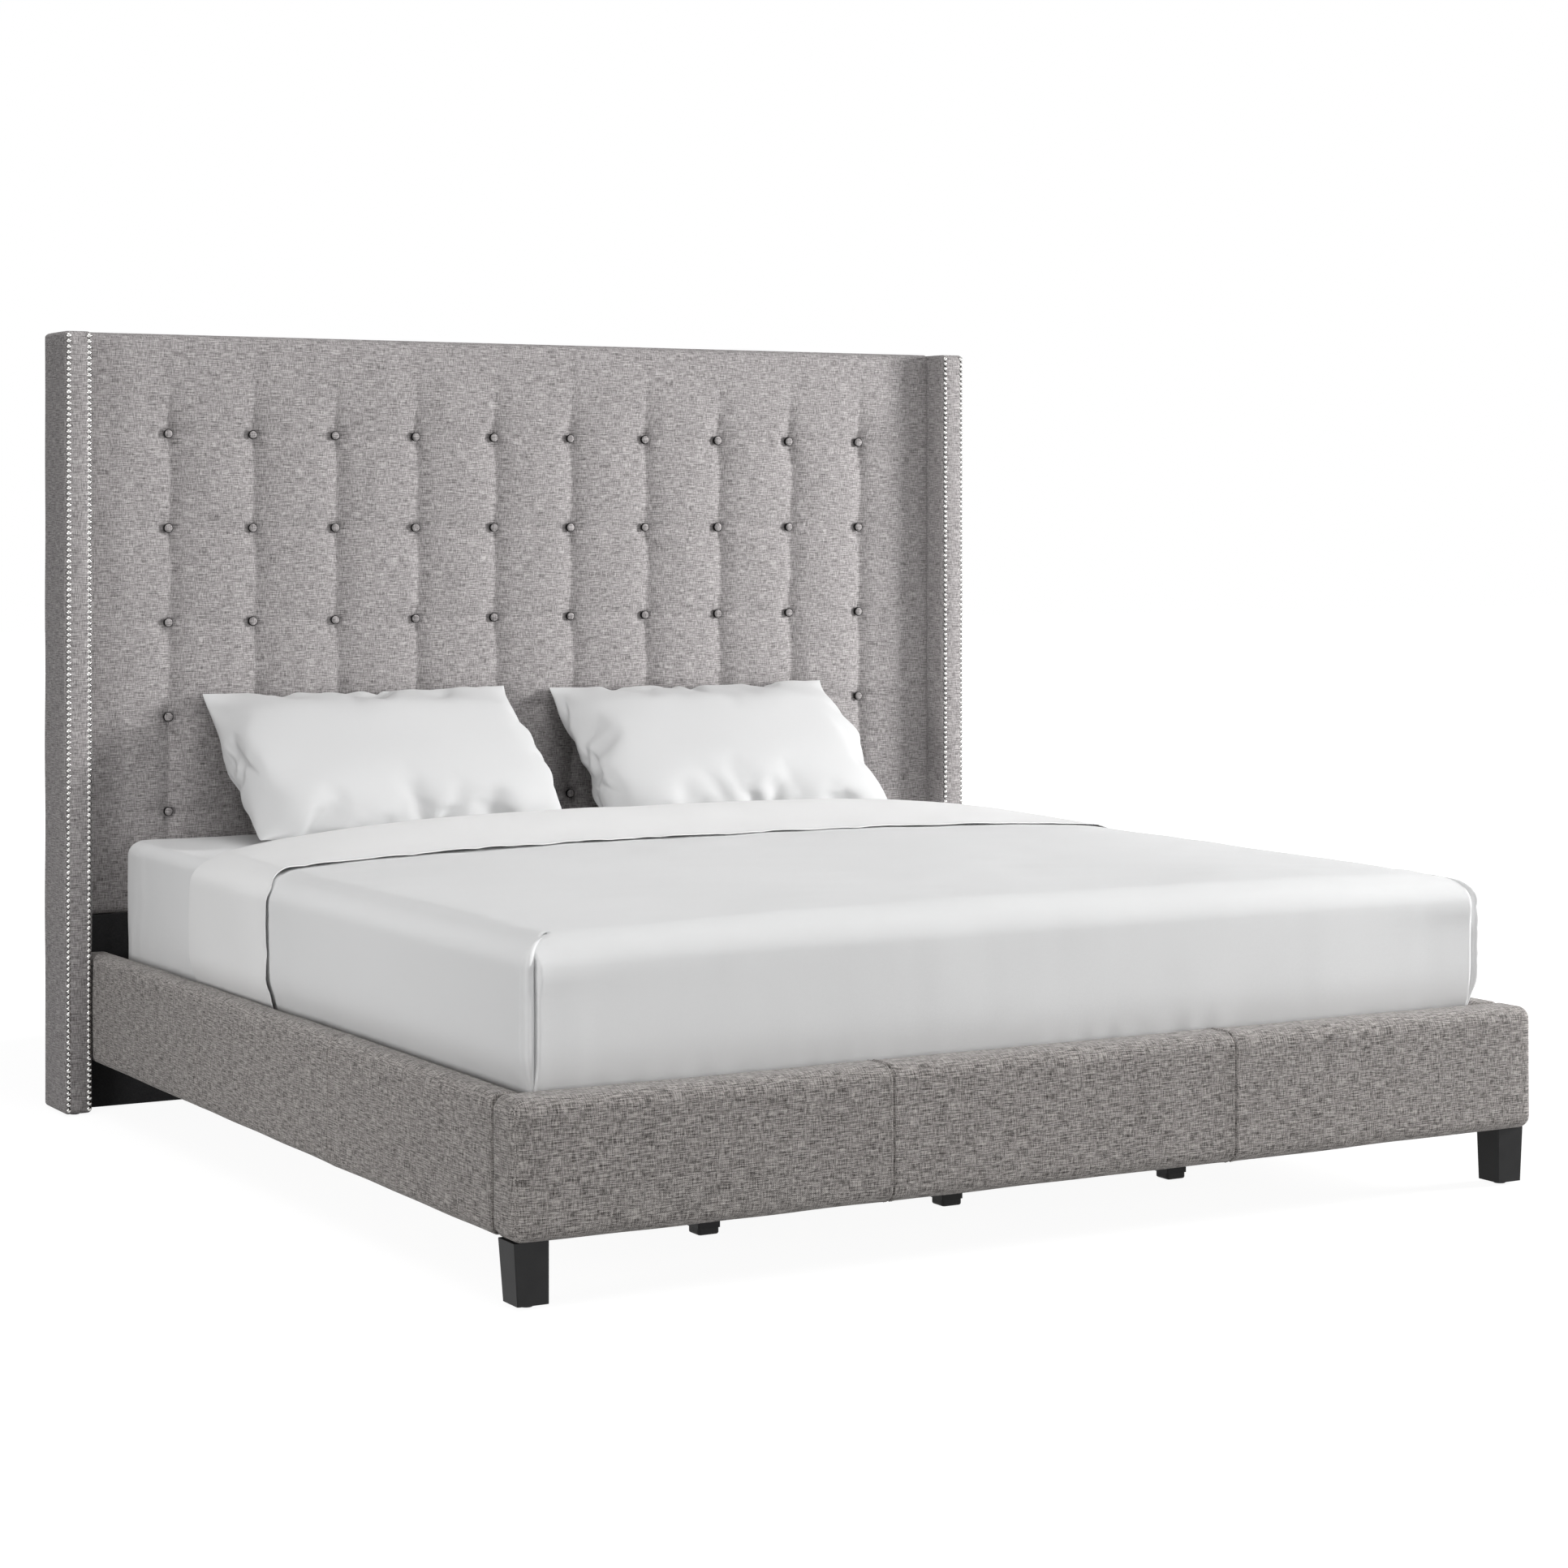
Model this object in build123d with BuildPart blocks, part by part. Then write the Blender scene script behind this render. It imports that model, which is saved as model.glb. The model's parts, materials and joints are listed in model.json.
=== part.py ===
from build123d import *
from math import floor
import os

# Wingback bed: a tufted headboard between two wings, upholstered rails and footboard,
# a slatted deck on legs, a mattress with its bed clothes, and two pillows.
# X runs across the bed, Y from the foot to the head, Z up from the floor.
# The origin is on the floor under the middle of the bed.
os.makedirs("parts", exist_ok=True)

# Overall size
bed_width = 2235
bed_length = 2215
headboard_height = 1650

# Allowances
hole_play = 0.1
stem_play = 0.05
end_play = 2
soft_gap = 0.3

# Wings: a timber core under a padded cover
wing_thickness = 60
wing_depth = 142
wing_padding = 9
wing_edge_radius = 8
wing_top_radius = 6
wing_drop = 3

# Nail trim on the front edge of each wing
nail_head_diameter = 11
nail_head_rise = 3
nail_pitch = 11.8
nail_edge_inset = 8
nail_end_inset = 9
nail_shank_diameter = 1.8
nail_shank_length = 15
strip_width = 4
strip_thickness = 0.6
heads_per_nail = 5

# Headboard layers, from the back to the front
cloth_setback = 1.5
cloth_thickness = 1.5
frame_depth = 30
face_board_thickness = 12
pad_thickness = 36
lower_panel_thickness = 44.5

# Headboard frame
stile_width = 70
cross_rail_height = 70
pad_bottom_z = 412
pad_wrap = 10

# Tufting
button_columns = 10
button_rows = 5
button_row_pitch = 203
button_top_drop = 214
column_crown = 9
row_crown = 5
top_roll = 24
dimple_depth = 18
dimple_mouth_radius = 42
dimple_floor_radius = 10
button_diameter = 19
button_edge = 2.5
button_rise = 6
button_nail_diameter = 2.5
button_nail_length = 22

# Glides under the headboard and the wings
glide_height = 4
glide_diameter = 22
glide_edge = 1
glide_pin_diameter = 3
glide_pin_length = 14
glide_inset = 30

# Rails and footboard
frame_bottom_z = 107
frame_height = 228
rail_thickness = 57
rail_padding = 11
rail_edge_radius = 14
rail_setback = 1
footboard_thickness = 95
footboard_padding = 12
footboard_edge_radius = 24

# Corner brackets and their bolts
bracket_leg = 60
bracket_height = 90
bracket_thickness = 4
bracket_lift = 18
bracket_bolt_pitch = 50
bolt_diameter = 8
bolt_head_diameter = 14
bolt_head_height = 4.5
bracket_bolt_length = 38
wing_bolt_grip = 30

# Deck: ledgers on the rails carry slats and three ribbed bearers
ledger_size = 30
deck_top_z = 275
slat_thickness = 20
slat_width = 75
slat_pitch = 180
slat_rows = 11
slat_end_gap = 2
bearer_rows = {"front": 1, "middle": 5, "rear": 9}
bearer_width = 90
rib_height = 40
rib_width = 44
rib_end_gap = 1
screw_diameter = 4
screw_head_diameter = 8
screw_length = 34
screw_sink = 0.3
screw_head_angle = 90

# Legs under the footboard, and their levelling glides
leg_head_size = 62
leg_foot_size = 56
leg_side_inset = 14
leg_front_inset = 20
leg_edge = 2
leg_glide_diameter = 24
leg_glide_height = 6
leg_glide_edge = 1.5
leg_stem_diameter = 8
leg_stem_length = 30
leg_stud_length = 60
leg_stud_depth = 26

# Support legs under the bearers, and their levelling feet
support_leg_size = 44
support_leg_edge = 3
support_leg_pitch = 505
foot_size = 42
foot_height = 12
foot_edge = 4
foot_corner_radius = 7
foot_stem_diameter = 10
foot_stem_length = 45

# Mattress and bed clothes
mattress_width = 1950
mattress_length = 2020
mattress_height = 290
mattress_corner_radius = 60
mattress_edge_radius = 25
mattress_foot_gap = 11.5
sheet_thickness = 3
cover_side_thickness = 7
cover_top_thickness = 6
cover_crown = 12
cover_corner_radius = 60
cover_shoulder = 35
cover_head_y = 490
cuff_thickness = 5
cuff_width = 355
cuff_roll = 14
hem_lift = 5

# Pillows, leaning on the headboard
pillow_width = 700
pillow_height = 457
pillow_thickness = 150
pillow_lean = 40
pillow_left_x = -446
pillow_right_x = 382
# Place along the width, height there and thickness there, each as a share of the largest
pillow_shares = (
    (-1, 1, 0.09),
    (-0.86, 0.965, 0.46),
    (-0.5, 0.925, 0.87),
    (0, 0.91, 1),
    (0.5, 0.925, 0.87),
    (0.86, 0.965, 0.46),
    (1, 1, 0.09),
)

# Planes that the pieces share
sides = {"left": -1, "right": 1}
half_width = bed_width / 2
back_y = bed_length / 2
footboard_front_y = -bed_length / 2
wing_inner_x = half_width - wing_thickness
wing_front_y = back_y - wing_depth
wing_top_z = headboard_height - wing_drop
frame_back_y = back_y - cloth_setback - cloth_thickness
frame_front_y = frame_back_y - frame_depth
frame_middle_y = (frame_front_y + frame_back_y) / 2
board_front_y = frame_front_y - face_board_thickness
pad_crest_y = board_front_y - pad_thickness
panel_front_y = frame_front_y - lower_panel_thickness
frame_top_z = headboard_height - pad_wrap
stile_inner_x = wing_inner_x - stile_width
lower_rail_z = pad_bottom_z - cross_rail_height / 2
top_rail_z = frame_top_z - cross_rail_height
middle_rail_z = (lower_rail_z + top_rail_z) / 2
rail_outer_x = wing_inner_x - rail_setback
rail_inner_x = rail_outer_x - rail_thickness
footboard_back_y = footboard_front_y + footboard_thickness
frame_top_edge_z = frame_bottom_z + frame_height
bracket_bottom_z = frame_bottom_z + bracket_lift
bracket_middle_z = bracket_bottom_z + bracket_height / 2
slat_bottom_z = deck_top_z - slat_thickness
ledger_inner_x = rail_inner_x - ledger_size
rib_bottom_z = slat_bottom_z - rib_height
deck_middle_y = (footboard_back_y + panel_front_y) / 2
bolt_hole_radius = bolt_diameter / 2 + hole_play


def save(piece, name):
    """Label a finished piece and write it to its own file."""
    piece.part.label = name
    export_step(piece.part, f"parts/{name}.step")


def spread(side, inner_x, outer_x):
    """The two x limits of a piece on one side of the bed, lowest first."""
    return tuple(sorted((side * inner_x, side * outer_x)))


def block(x_limits, y_limits, z_limits, mode=Mode.ADD):
    """A straight block between two limits on each axis."""
    middle = [(low + high) / 2 for low, high in (x_limits, y_limits, z_limits)]
    size = [high - low for low, high in (x_limits, y_limits, z_limits)]
    with Locations(tuple(middle)):
        Box(*size, mode=mode)


def pins(places, radius, length, mode=Mode.SUBTRACT):
    """Round pins or holes that start at each place and run along its own Z."""
    with Locations(*places):
        Cylinder(radius, length, align=(Align.CENTER, Align.CENTER, Align.MIN), mode=mode)


def facing(x, y, z, direction):
    """A plane at a point, with its Z along the direction."""
    return Plane(origin=(x, y, z), z_dir=direction)


def copies(form, places):
    """Copies of a finished form, one at each place."""
    with Locations(*places):
        add(form.part)


def flipped(places):
    """The same places, each facing the other way."""
    return [Plane(origin=place.origin, z_dir=-place.z_dir) for place in places]


def dome_radius(rim, rise):
    """Radius of the sphere that a low dome with this rim and rise is cut from."""
    return (rim**2 + rise**2) / (2 * rise)


# Small parts that repeat. Each is drawn about the Z axis with its seat at z = 0.
with BuildPart() as nail_head:
    with BuildSketch(Plane.XZ):
        with BuildLine():
            nail_rim = nail_head_diameter / 2
            RadiusArc((nail_rim, 0), (0, nail_head_rise), -dome_radius(nail_rim, nail_head_rise))
            Polyline((0, nail_head_rise), (0, 0), (nail_rim, 0))
        make_face()
    revolve(axis=Axis.Z)

with BuildPart() as button_form:
    with BuildSketch(Plane.XZ):
        with BuildLine():
            button_rim = button_diameter / 2
            button_dome = dome_radius(button_rim, button_rise - button_edge)
            Polyline((0, button_rise), (0, 0), (button_rim, 0), (button_rim, button_edge))
            RadiusArc((button_rim, button_edge), (0, button_rise), -button_dome)
        make_face()
    revolve(axis=Axis.Z)
    pins([facing(0, 0, 0, (0, 0, -1))], button_nail_diameter / 2, button_nail_length, Mode.ADD)


def bolt_form(length):
    """A bolt with a domed head on z = 0 and its shank below."""
    with BuildPart() as bolt:
        with BuildSketch(Plane.XZ):
            with BuildLine():
                rim = bolt_head_diameter / 2
                Polyline((0, bolt_head_height), (0, 0), (rim, 0))
                RadiusArc((rim, 0), (0, bolt_head_height), -dome_radius(rim, bolt_head_height))
            make_face()
        revolve(axis=Axis.Z)
        pins([facing(0, 0, 0, (0, 0, -1))], bolt_diameter / 2, length, Mode.ADD)
    return bolt


# Places of the headboard glides, under the wing cores and the stiles
glide_places = []
for side in sides.values():
    wing_middle_x = side * (wing_inner_x + wing_thickness / 2)
    stile_middle_x = side * (stile_inner_x + stile_width / 2)
    for glide_y in (wing_front_y + glide_inset, back_y - glide_inset):
        glide_places.append(Plane(origin=(wing_middle_x, glide_y, glide_height)))
    glide_places.append(Plane(origin=(stile_middle_x, frame_middle_y, glide_height)))

with BuildPart() as headboard_glides:
    pins(flipped(glide_places), glide_diameter / 2, glide_height, Mode.ADD)
    chamfer(headboard_glides.edges().filter_by(GeomType.CIRCLE).group_by(Axis.Z)[0], glide_edge)
    pins(glide_places, glide_pin_diameter / 2, glide_pin_length, Mode.ADD)
save(headboard_glides, "headboard_glides")

# Bolts that draw each wing against its stile, one between each pair of cross rails
cross_rail_heights = (lower_rail_z, middle_rail_z, top_rail_z)
bay_floors = (glide_height, *(z + cross_rail_height for z in cross_rail_heights))
wing_bolt_heights = [(below + above) / 2 for below, above in zip(bay_floors, cross_rail_heights)]
wing_bolt_length = stile_width + wing_padding + wing_bolt_grip
wing_bolt_holes = {
    hand: [facing(side * stile_inner_x, frame_middle_y, z, (side, 0, 0)) for z in wing_bolt_heights]
    for hand, side in sides.items()
}
wing_bolt_form = bolt_form(wing_bolt_length)
with BuildPart() as wing_bolts:
    copies(wing_bolt_form, flipped(wing_bolt_holes["left"] + wing_bolt_holes["right"]))
save(wing_bolts, "wing_bolts")

# Headboard frame: two stiles and three cross rails
for hand, side in sides.items():
    with BuildPart() as stile:
        stile_x = spread(side, stile_inner_x, wing_inner_x)
        block(stile_x, (frame_front_y, frame_back_y), (glide_height, frame_top_z))
        pins(wing_bolt_holes[hand], bolt_hole_radius, wing_bolt_length)
        pins(glide_places, glide_pin_diameter / 2 + hole_play, glide_pin_length + end_play)
    save(stile, f"headboard_stile_{hand}")

for name, rail_z in zip(("lower", "middle", "top"), cross_rail_heights):
    cross_rail_z = (rail_z, rail_z + cross_rail_height)
    with BuildPart() as cross_rail:
        block((-stile_inner_x, stile_inner_x), (frame_front_y, frame_back_y), cross_rail_z)
    save(cross_rail, f"headboard_{name}_rail")

# Buttons in a grid on the floors of their dimples
button_column_pitch = 2 * wing_inner_x / (button_columns + 1)
button_top_z = headboard_height - button_top_drop
button_floor_y = pad_crest_y + dimple_depth
first_button_x = -(button_columns - 1) / 2 * button_column_pitch
button_x = [first_button_x + column * button_column_pitch for column in range(button_columns)]
button_z = [button_top_z - row * button_row_pitch for row in range(button_rows)]
button_places = [facing(x, button_floor_y, z, (0, -1, 0)) for x in button_x for z in button_z]
button_nail_holes = flipped(button_places)
with BuildPart() as tuft_buttons:
    copies(button_form, button_places)
save(tuft_buttons, "tuft_buttons")

with BuildPart() as headboard_face_board:
    block((-wing_inner_x, wing_inner_x), (board_front_y, frame_front_y), (pad_bottom_z, frame_top_z))
    pins(button_nail_holes, button_nail_diameter / 2 + hole_play, button_nail_length + end_play)
save(headboard_face_board, "headboard_face_board")

# Tufted pad: crowns across the columns meet crowns up the rows, and each button pulls a dimple
with BuildPart() as tufted_pad:
    with BuildSketch(Plane.XY.offset(pad_bottom_z)):
        with BuildLine():
            crease_y = pad_crest_y + column_crown
            for cell in range(button_columns + 1):
                start_x = -wing_inner_x + cell * button_column_pitch
                end_x = start_x + button_column_pitch
                ThreePointArc((start_x, crease_y), ((start_x + end_x) / 2, pad_crest_y), (end_x, crease_y))
            Polyline(
                (wing_inner_x, crease_y),
                (wing_inner_x, frame_back_y),
                (-wing_inner_x, frame_back_y),
                (-wing_inner_x, crease_y),
            )
        make_face()
    extrude(amount=headboard_height - pad_bottom_z)
    with BuildSketch(Plane.YZ.offset(-wing_inner_x)):
        with BuildLine():
            row_crease_y = pad_crest_y + row_crown
            cell_heights = [pad_bottom_z, *reversed(button_z), headboard_height - top_roll]
            for low_z, high_z in zip(cell_heights, cell_heights[1:]):
                crest = (pad_crest_y, (low_z + high_z) / 2)
                ThreePointArc((row_crease_y, low_z), crest, (row_crease_y, high_z))
            roll_end_y = row_crease_y + top_roll
            RadiusArc((row_crease_y, cell_heights[-1]), (roll_end_y, headboard_height), top_roll)
            Polyline(
                (roll_end_y, headboard_height),
                (frame_back_y, headboard_height),
                (frame_back_y, frame_top_z),
                (board_front_y, frame_top_z),
                (board_front_y, pad_bottom_z),
                (row_crease_y, pad_bottom_z),
            )
        make_face()
    extrude(amount=2 * wing_inner_x, mode=Mode.INTERSECT)
    with Locations(*button_places):
        Cone(dimple_floor_radius, dimple_mouth_radius, dimple_depth,
             align=(Align.CENTER, Align.CENTER, Align.MIN), mode=Mode.SUBTRACT)
    pins(button_nail_holes, button_nail_diameter / 2 + hole_play, pad_thickness)
save(tufted_pad, "tufted_pad")

back_cloth_y = (frame_back_y, frame_back_y + cloth_thickness)
with BuildPart() as headboard_back_cloth:
    block((-wing_inner_x, wing_inner_x), back_cloth_y, (glide_height, frame_top_z))
save(headboard_back_cloth, "headboard_back_cloth")

# Nail trim: a formed strip of heads, with a real nail in place of every fifth head
nail_span = wing_top_z - glide_height - 2 * nail_end_inset
nail_count = floor(nail_span / nail_pitch) + 1
nail_step = nail_span / (nail_count - 1)
nail_heights = [glide_height + nail_end_inset + place * nail_step for place in range(nail_count)]
nailed = nail_heights[heads_per_nail // 2 :: heads_per_nail]
formed = [z for z in nail_heights if z not in nailed]
nail_rows = {"inner": wing_inner_x + nail_edge_inset, "outer": half_width - nail_edge_inset}
strip_front_y = wing_front_y - strip_thickness
nail_holes = {
    hand: [facing(side * x, strip_front_y, z, (0, 1, 0)) for x in nail_rows.values() for z in nailed]
    for hand, side in sides.items()
}
with BuildPart() as strip_nail:
    add(nail_head.part)
    pins([facing(0, 0, 0, (0, 0, -1))], nail_shank_diameter / 2, nail_shank_length, Mode.ADD)
with BuildPart() as strip_nails:
    copies(strip_nail, flipped(nail_holes["left"] + nail_holes["right"]))
save(strip_nails, "strip_nails")

for hand, side in sides.items():
    for row, row_x in nail_rows.items():
        strip_x = side * row_x
        with BuildPart() as nail_strip:
            copies(nail_head, [facing(strip_x, wing_front_y, z, (0, -1, 0)) for z in formed])
            block(
                (strip_x - strip_width / 2, strip_x + strip_width / 2),
                (strip_front_y, wing_front_y),
                (nail_heights[0], nail_heights[-1]),
            )
            pins(nail_holes[hand], nail_shank_diameter / 2 + hole_play, nail_shank_length)
        save(nail_strip, f"nail_strip_{hand}_{row}")

# Wings: the core stands inside its cover, which is open underneath
wing_core_y = (wing_front_y + wing_padding, back_y - wing_padding)
wing_core_z = (glide_height, wing_top_z - wing_padding)
for hand, side in sides.items():
    core_x = spread(side, wing_inner_x + wing_padding, half_width - wing_padding)
    with BuildPart() as wing_core:
        block(core_x, wing_core_y, wing_core_z)
        pins(wing_bolt_holes[hand], bolt_hole_radius, wing_bolt_length + end_play)
        pins(nail_holes[hand], nail_shank_diameter / 2 + hole_play, nail_shank_length + end_play)
        pins(glide_places, glide_pin_diameter / 2 + hole_play, glide_pin_length + end_play)
    save(wing_core, f"wing_{hand}_core")
    with BuildPart() as wing_cover:
        wing_x = spread(side, wing_inner_x, half_width)
        block(wing_x, (wing_front_y, back_y), (glide_height, wing_top_z))
        fillet(wing_cover.edges().filter_by(Axis.Z), wing_edge_radius)
        fillet(wing_cover.faces().sort_by(Axis.Z)[-1].edges(), wing_top_radius)
        block(core_x, wing_core_y, wing_core_z, Mode.SUBTRACT)
        pins(wing_bolt_holes[hand], bolt_hole_radius, wing_bolt_length)
        pins(nail_holes[hand], nail_shank_diameter / 2 + hole_play, nail_shank_length)
    save(wing_cover, f"wing_{hand}_cover")

# Corner brackets: angle plates inside the four corners of the frame, with two bolts in each leg
bracket_ends = {"foot": (footboard_back_y, 1), "head": (panel_front_y, -1)}
bracket_hole_inset = (bracket_leg + bracket_thickness) / 2
rail_bolt_holes = []
end_bolt_holes = {"foot": [], "head": []}
for side in sides.values():
    rail_plate_x = side * (rail_inner_x - bracket_thickness)
    end_bolt_x = side * (rail_inner_x - bracket_hole_inset)
    for end, (end_y, inward) in bracket_ends.items():
        rail_bolt_y = end_y + inward * bracket_hole_inset
        end_plate_y = end_y + inward * bracket_thickness
        for step in (-bracket_bolt_pitch / 2, bracket_bolt_pitch / 2):
            z = bracket_middle_z + step
            rail_bolt_holes.append(facing(rail_plate_x, rail_bolt_y, z, (side, 0, 0)))
            end_bolt_holes[end].append(facing(end_bolt_x, end_plate_y, z, (0, -inward, 0)))
every_bracket_hole = rail_bolt_holes + end_bolt_holes["foot"] + end_bolt_holes["head"]
bracket_hole_depth = bracket_bolt_length + end_play

for end, (end_y, inward) in bracket_ends.items():
    with BuildPart() as rail_brackets:
        for side in sides.values():
            leg_y = tuple(sorted((end_y, end_y + inward * bracket_leg)))
            plate_y = tuple(sorted((end_y, end_y + inward * bracket_thickness)))
            bracket_z = (bracket_bottom_z, bracket_bottom_z + bracket_height)
            block(spread(side, rail_inner_x - bracket_thickness, rail_inner_x), leg_y, bracket_z)
            block(spread(side, rail_inner_x - bracket_leg, rail_inner_x), plate_y, bracket_z)
        pins(every_bracket_hole, bolt_hole_radius, bracket_hole_depth)
    save(rail_brackets, f"rail_brackets_{end}")

bracket_bolt_form = bolt_form(bracket_bolt_length)
with BuildPart() as bracket_bolts:
    copies(bracket_bolt_form, flipped(every_bracket_hole))
save(bracket_bolts, "bracket_bolts")

with BuildPart() as lower_panel:
    block((-wing_inner_x, wing_inner_x), (panel_front_y, frame_front_y), (glide_height, pad_bottom_z))
    pins(end_bolt_holes["head"], bolt_hole_radius, bracket_hole_depth)
save(lower_panel, "lower_panel")

# Deck rows, and the screws that hold each row to both ledgers
slat_half_length = rail_inner_x - slat_end_gap
rib_half_length = ledger_inner_x - rib_end_gap
row_places = [deck_middle_y + (row - (slat_rows - 1) / 2) * slat_pitch for row in range(slat_rows)]
screw_x = rail_inner_x - ledger_size / 2
screw_places = [
    Plane(origin=(side * screw_x, y, deck_top_z)) for side in sides.values() for y in row_places
]
screw_head_height = (screw_head_diameter - screw_diameter) / 2
with BuildPart() as screw_form:
    with BuildSketch(Plane.XZ):
        with BuildLine():
            Polyline(
                (0, -screw_sink),
                (screw_head_diameter / 2, -screw_sink),
                (screw_diameter / 2, -screw_sink - screw_head_height),
                (screw_diameter / 2, -screw_length),
                (0, -screw_length),
                (0, -screw_sink),
            )
        make_face()
    revolve(axis=Axis.Z)
with BuildPart() as slat_screws:
    copies(screw_form, screw_places)
save(slat_screws, "slat_screws")


def deck_row(y, width):
    """One plank of the deck, across the bed at this y."""
    plank_y = (y - width / 2, y + width / 2)
    block((-slat_half_length, slat_half_length), plank_y, (slat_bottom_z, deck_top_z))


def screw_holes():
    """Countersunk holes for the screws of every deck row."""
    with Locations(*screw_places):
        CounterSinkHole(
            screw_diameter / 2 + hole_play,
            screw_head_diameter / 2 + hole_play + screw_sink,
            screw_length + end_play,
            screw_head_angle,
        )


# Rails: a timber core in a padded cover that is open at both ends, and a ledger inside
rail_y = (footboard_back_y, panel_front_y)
rail_core_z = (frame_bottom_z + rail_padding, frame_top_edge_z - rail_padding)
for hand, side in sides.items():
    core_x = spread(side, rail_inner_x + rail_padding, rail_outer_x - rail_padding)
    with BuildPart() as rail_core:
        block(core_x, rail_y, rail_core_z)
        pins(rail_bolt_holes, bolt_hole_radius, bracket_hole_depth)
    save(rail_core, f"rail_{hand}_core")
    with BuildPart() as rail_cover:
        block(spread(side, rail_inner_x, rail_outer_x), rail_y, (frame_bottom_z, frame_top_edge_z))
        fillet(rail_cover.edges().filter_by(Axis.Y), rail_edge_radius)
        block(core_x, rail_y, rail_core_z, Mode.SUBTRACT)
        pins(rail_bolt_holes, bolt_hole_radius, bracket_hole_depth)
    save(rail_cover, f"rail_{hand}_cover")
    ledger_z = (slat_bottom_z - ledger_size, slat_bottom_z)
    with BuildPart() as ledger:
        block(spread(side, ledger_inner_x, rail_inner_x), rail_y, ledger_z)
        pins(flipped(screw_places), screw_diameter / 2 + hole_play, screw_length + end_play)
    save(ledger, f"rail_{hand}_ledger")

# Footboard: a timber core in a padded cover, with the studs of both legs through its underside
leg_inner_x = wing_inner_x - leg_side_inset - leg_foot_size
leg_front_y = footboard_front_y + leg_front_inset
leg_foot_middle = (leg_inner_x + leg_foot_size / 2, leg_front_y + leg_foot_size / 2)
leg_head_middle = (leg_inner_x + leg_head_size / 2, leg_front_y + leg_head_size / 2)
leg_stud_z = frame_bottom_z - leg_stud_depth
leg_stud_holes = [
    Plane(origin=(side * leg_foot_middle[0], leg_foot_middle[1], leg_stud_z)) for side in sides.values()
]
footboard_core_x = (-wing_inner_x + footboard_padding, wing_inner_x - footboard_padding)
footboard_core_y = (footboard_front_y + footboard_padding, footboard_back_y - footboard_padding)
footboard_core_z = (frame_bottom_z + footboard_padding, frame_top_edge_z - footboard_padding)
footboard_y = (footboard_front_y, footboard_back_y)
with BuildPart() as footboard_core:
    block(footboard_core_x, footboard_core_y, footboard_core_z)
    pins(end_bolt_holes["foot"], bolt_hole_radius, bracket_hole_depth)
    pins(leg_stud_holes, bolt_hole_radius, leg_stud_length + end_play)
save(footboard_core, "footboard_core")
with BuildPart() as footboard_cover:
    block((-wing_inner_x, wing_inner_x), footboard_y, (frame_bottom_z, frame_top_edge_z))
    fillet(footboard_cover.edges(), footboard_edge_radius)
    block(footboard_core_x, footboard_core_y, footboard_core_z, Mode.SUBTRACT)
    pins(end_bolt_holes["foot"], bolt_hole_radius, bracket_hole_depth)
    pins(leg_stud_holes, bolt_hole_radius, leg_stud_length + end_play)
save(footboard_cover, "footboard_cover")

# Legs under the footboard taper on their outer and back faces
for hand, side in sides.items():
    stem_place = Plane(origin=(side * leg_foot_middle[0], leg_foot_middle[1], leg_glide_height))
    with BuildPart() as leg:
        with BuildSketch(Plane.XY.offset(leg_glide_height)):
            with Locations((side * leg_foot_middle[0], leg_foot_middle[1])):
                Rectangle(leg_foot_size, leg_foot_size)
        with BuildSketch(Plane.XY.offset(frame_bottom_z)):
            with Locations((side * leg_head_middle[0], leg_head_middle[1])):
                Rectangle(leg_head_size, leg_head_size)
        loft(ruled=True)
        four_corners = leg.edges().sort_by(SortBy.LENGTH)[-4:]
        chamfer(four_corners, leg_edge)
        pins([stem_place], leg_stem_diameter / 2 + stem_play, leg_stem_length + end_play)
        pins(leg_stud_holes, bolt_hole_radius, leg_stud_length + end_play)
    save(leg, f"leg_{hand}")
    with BuildPart() as leg_glide:
        pins(flipped([stem_place]), leg_glide_diameter / 2, leg_glide_height, Mode.ADD)
        chamfer(leg_glide.edges().filter_by(GeomType.CIRCLE).group_by(Axis.Z)[0], leg_glide_edge)
        pins([stem_place], leg_stem_diameter / 2, leg_stem_length, Mode.ADD)
    save(leg_glide, f"leg_glide_{hand}")

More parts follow.
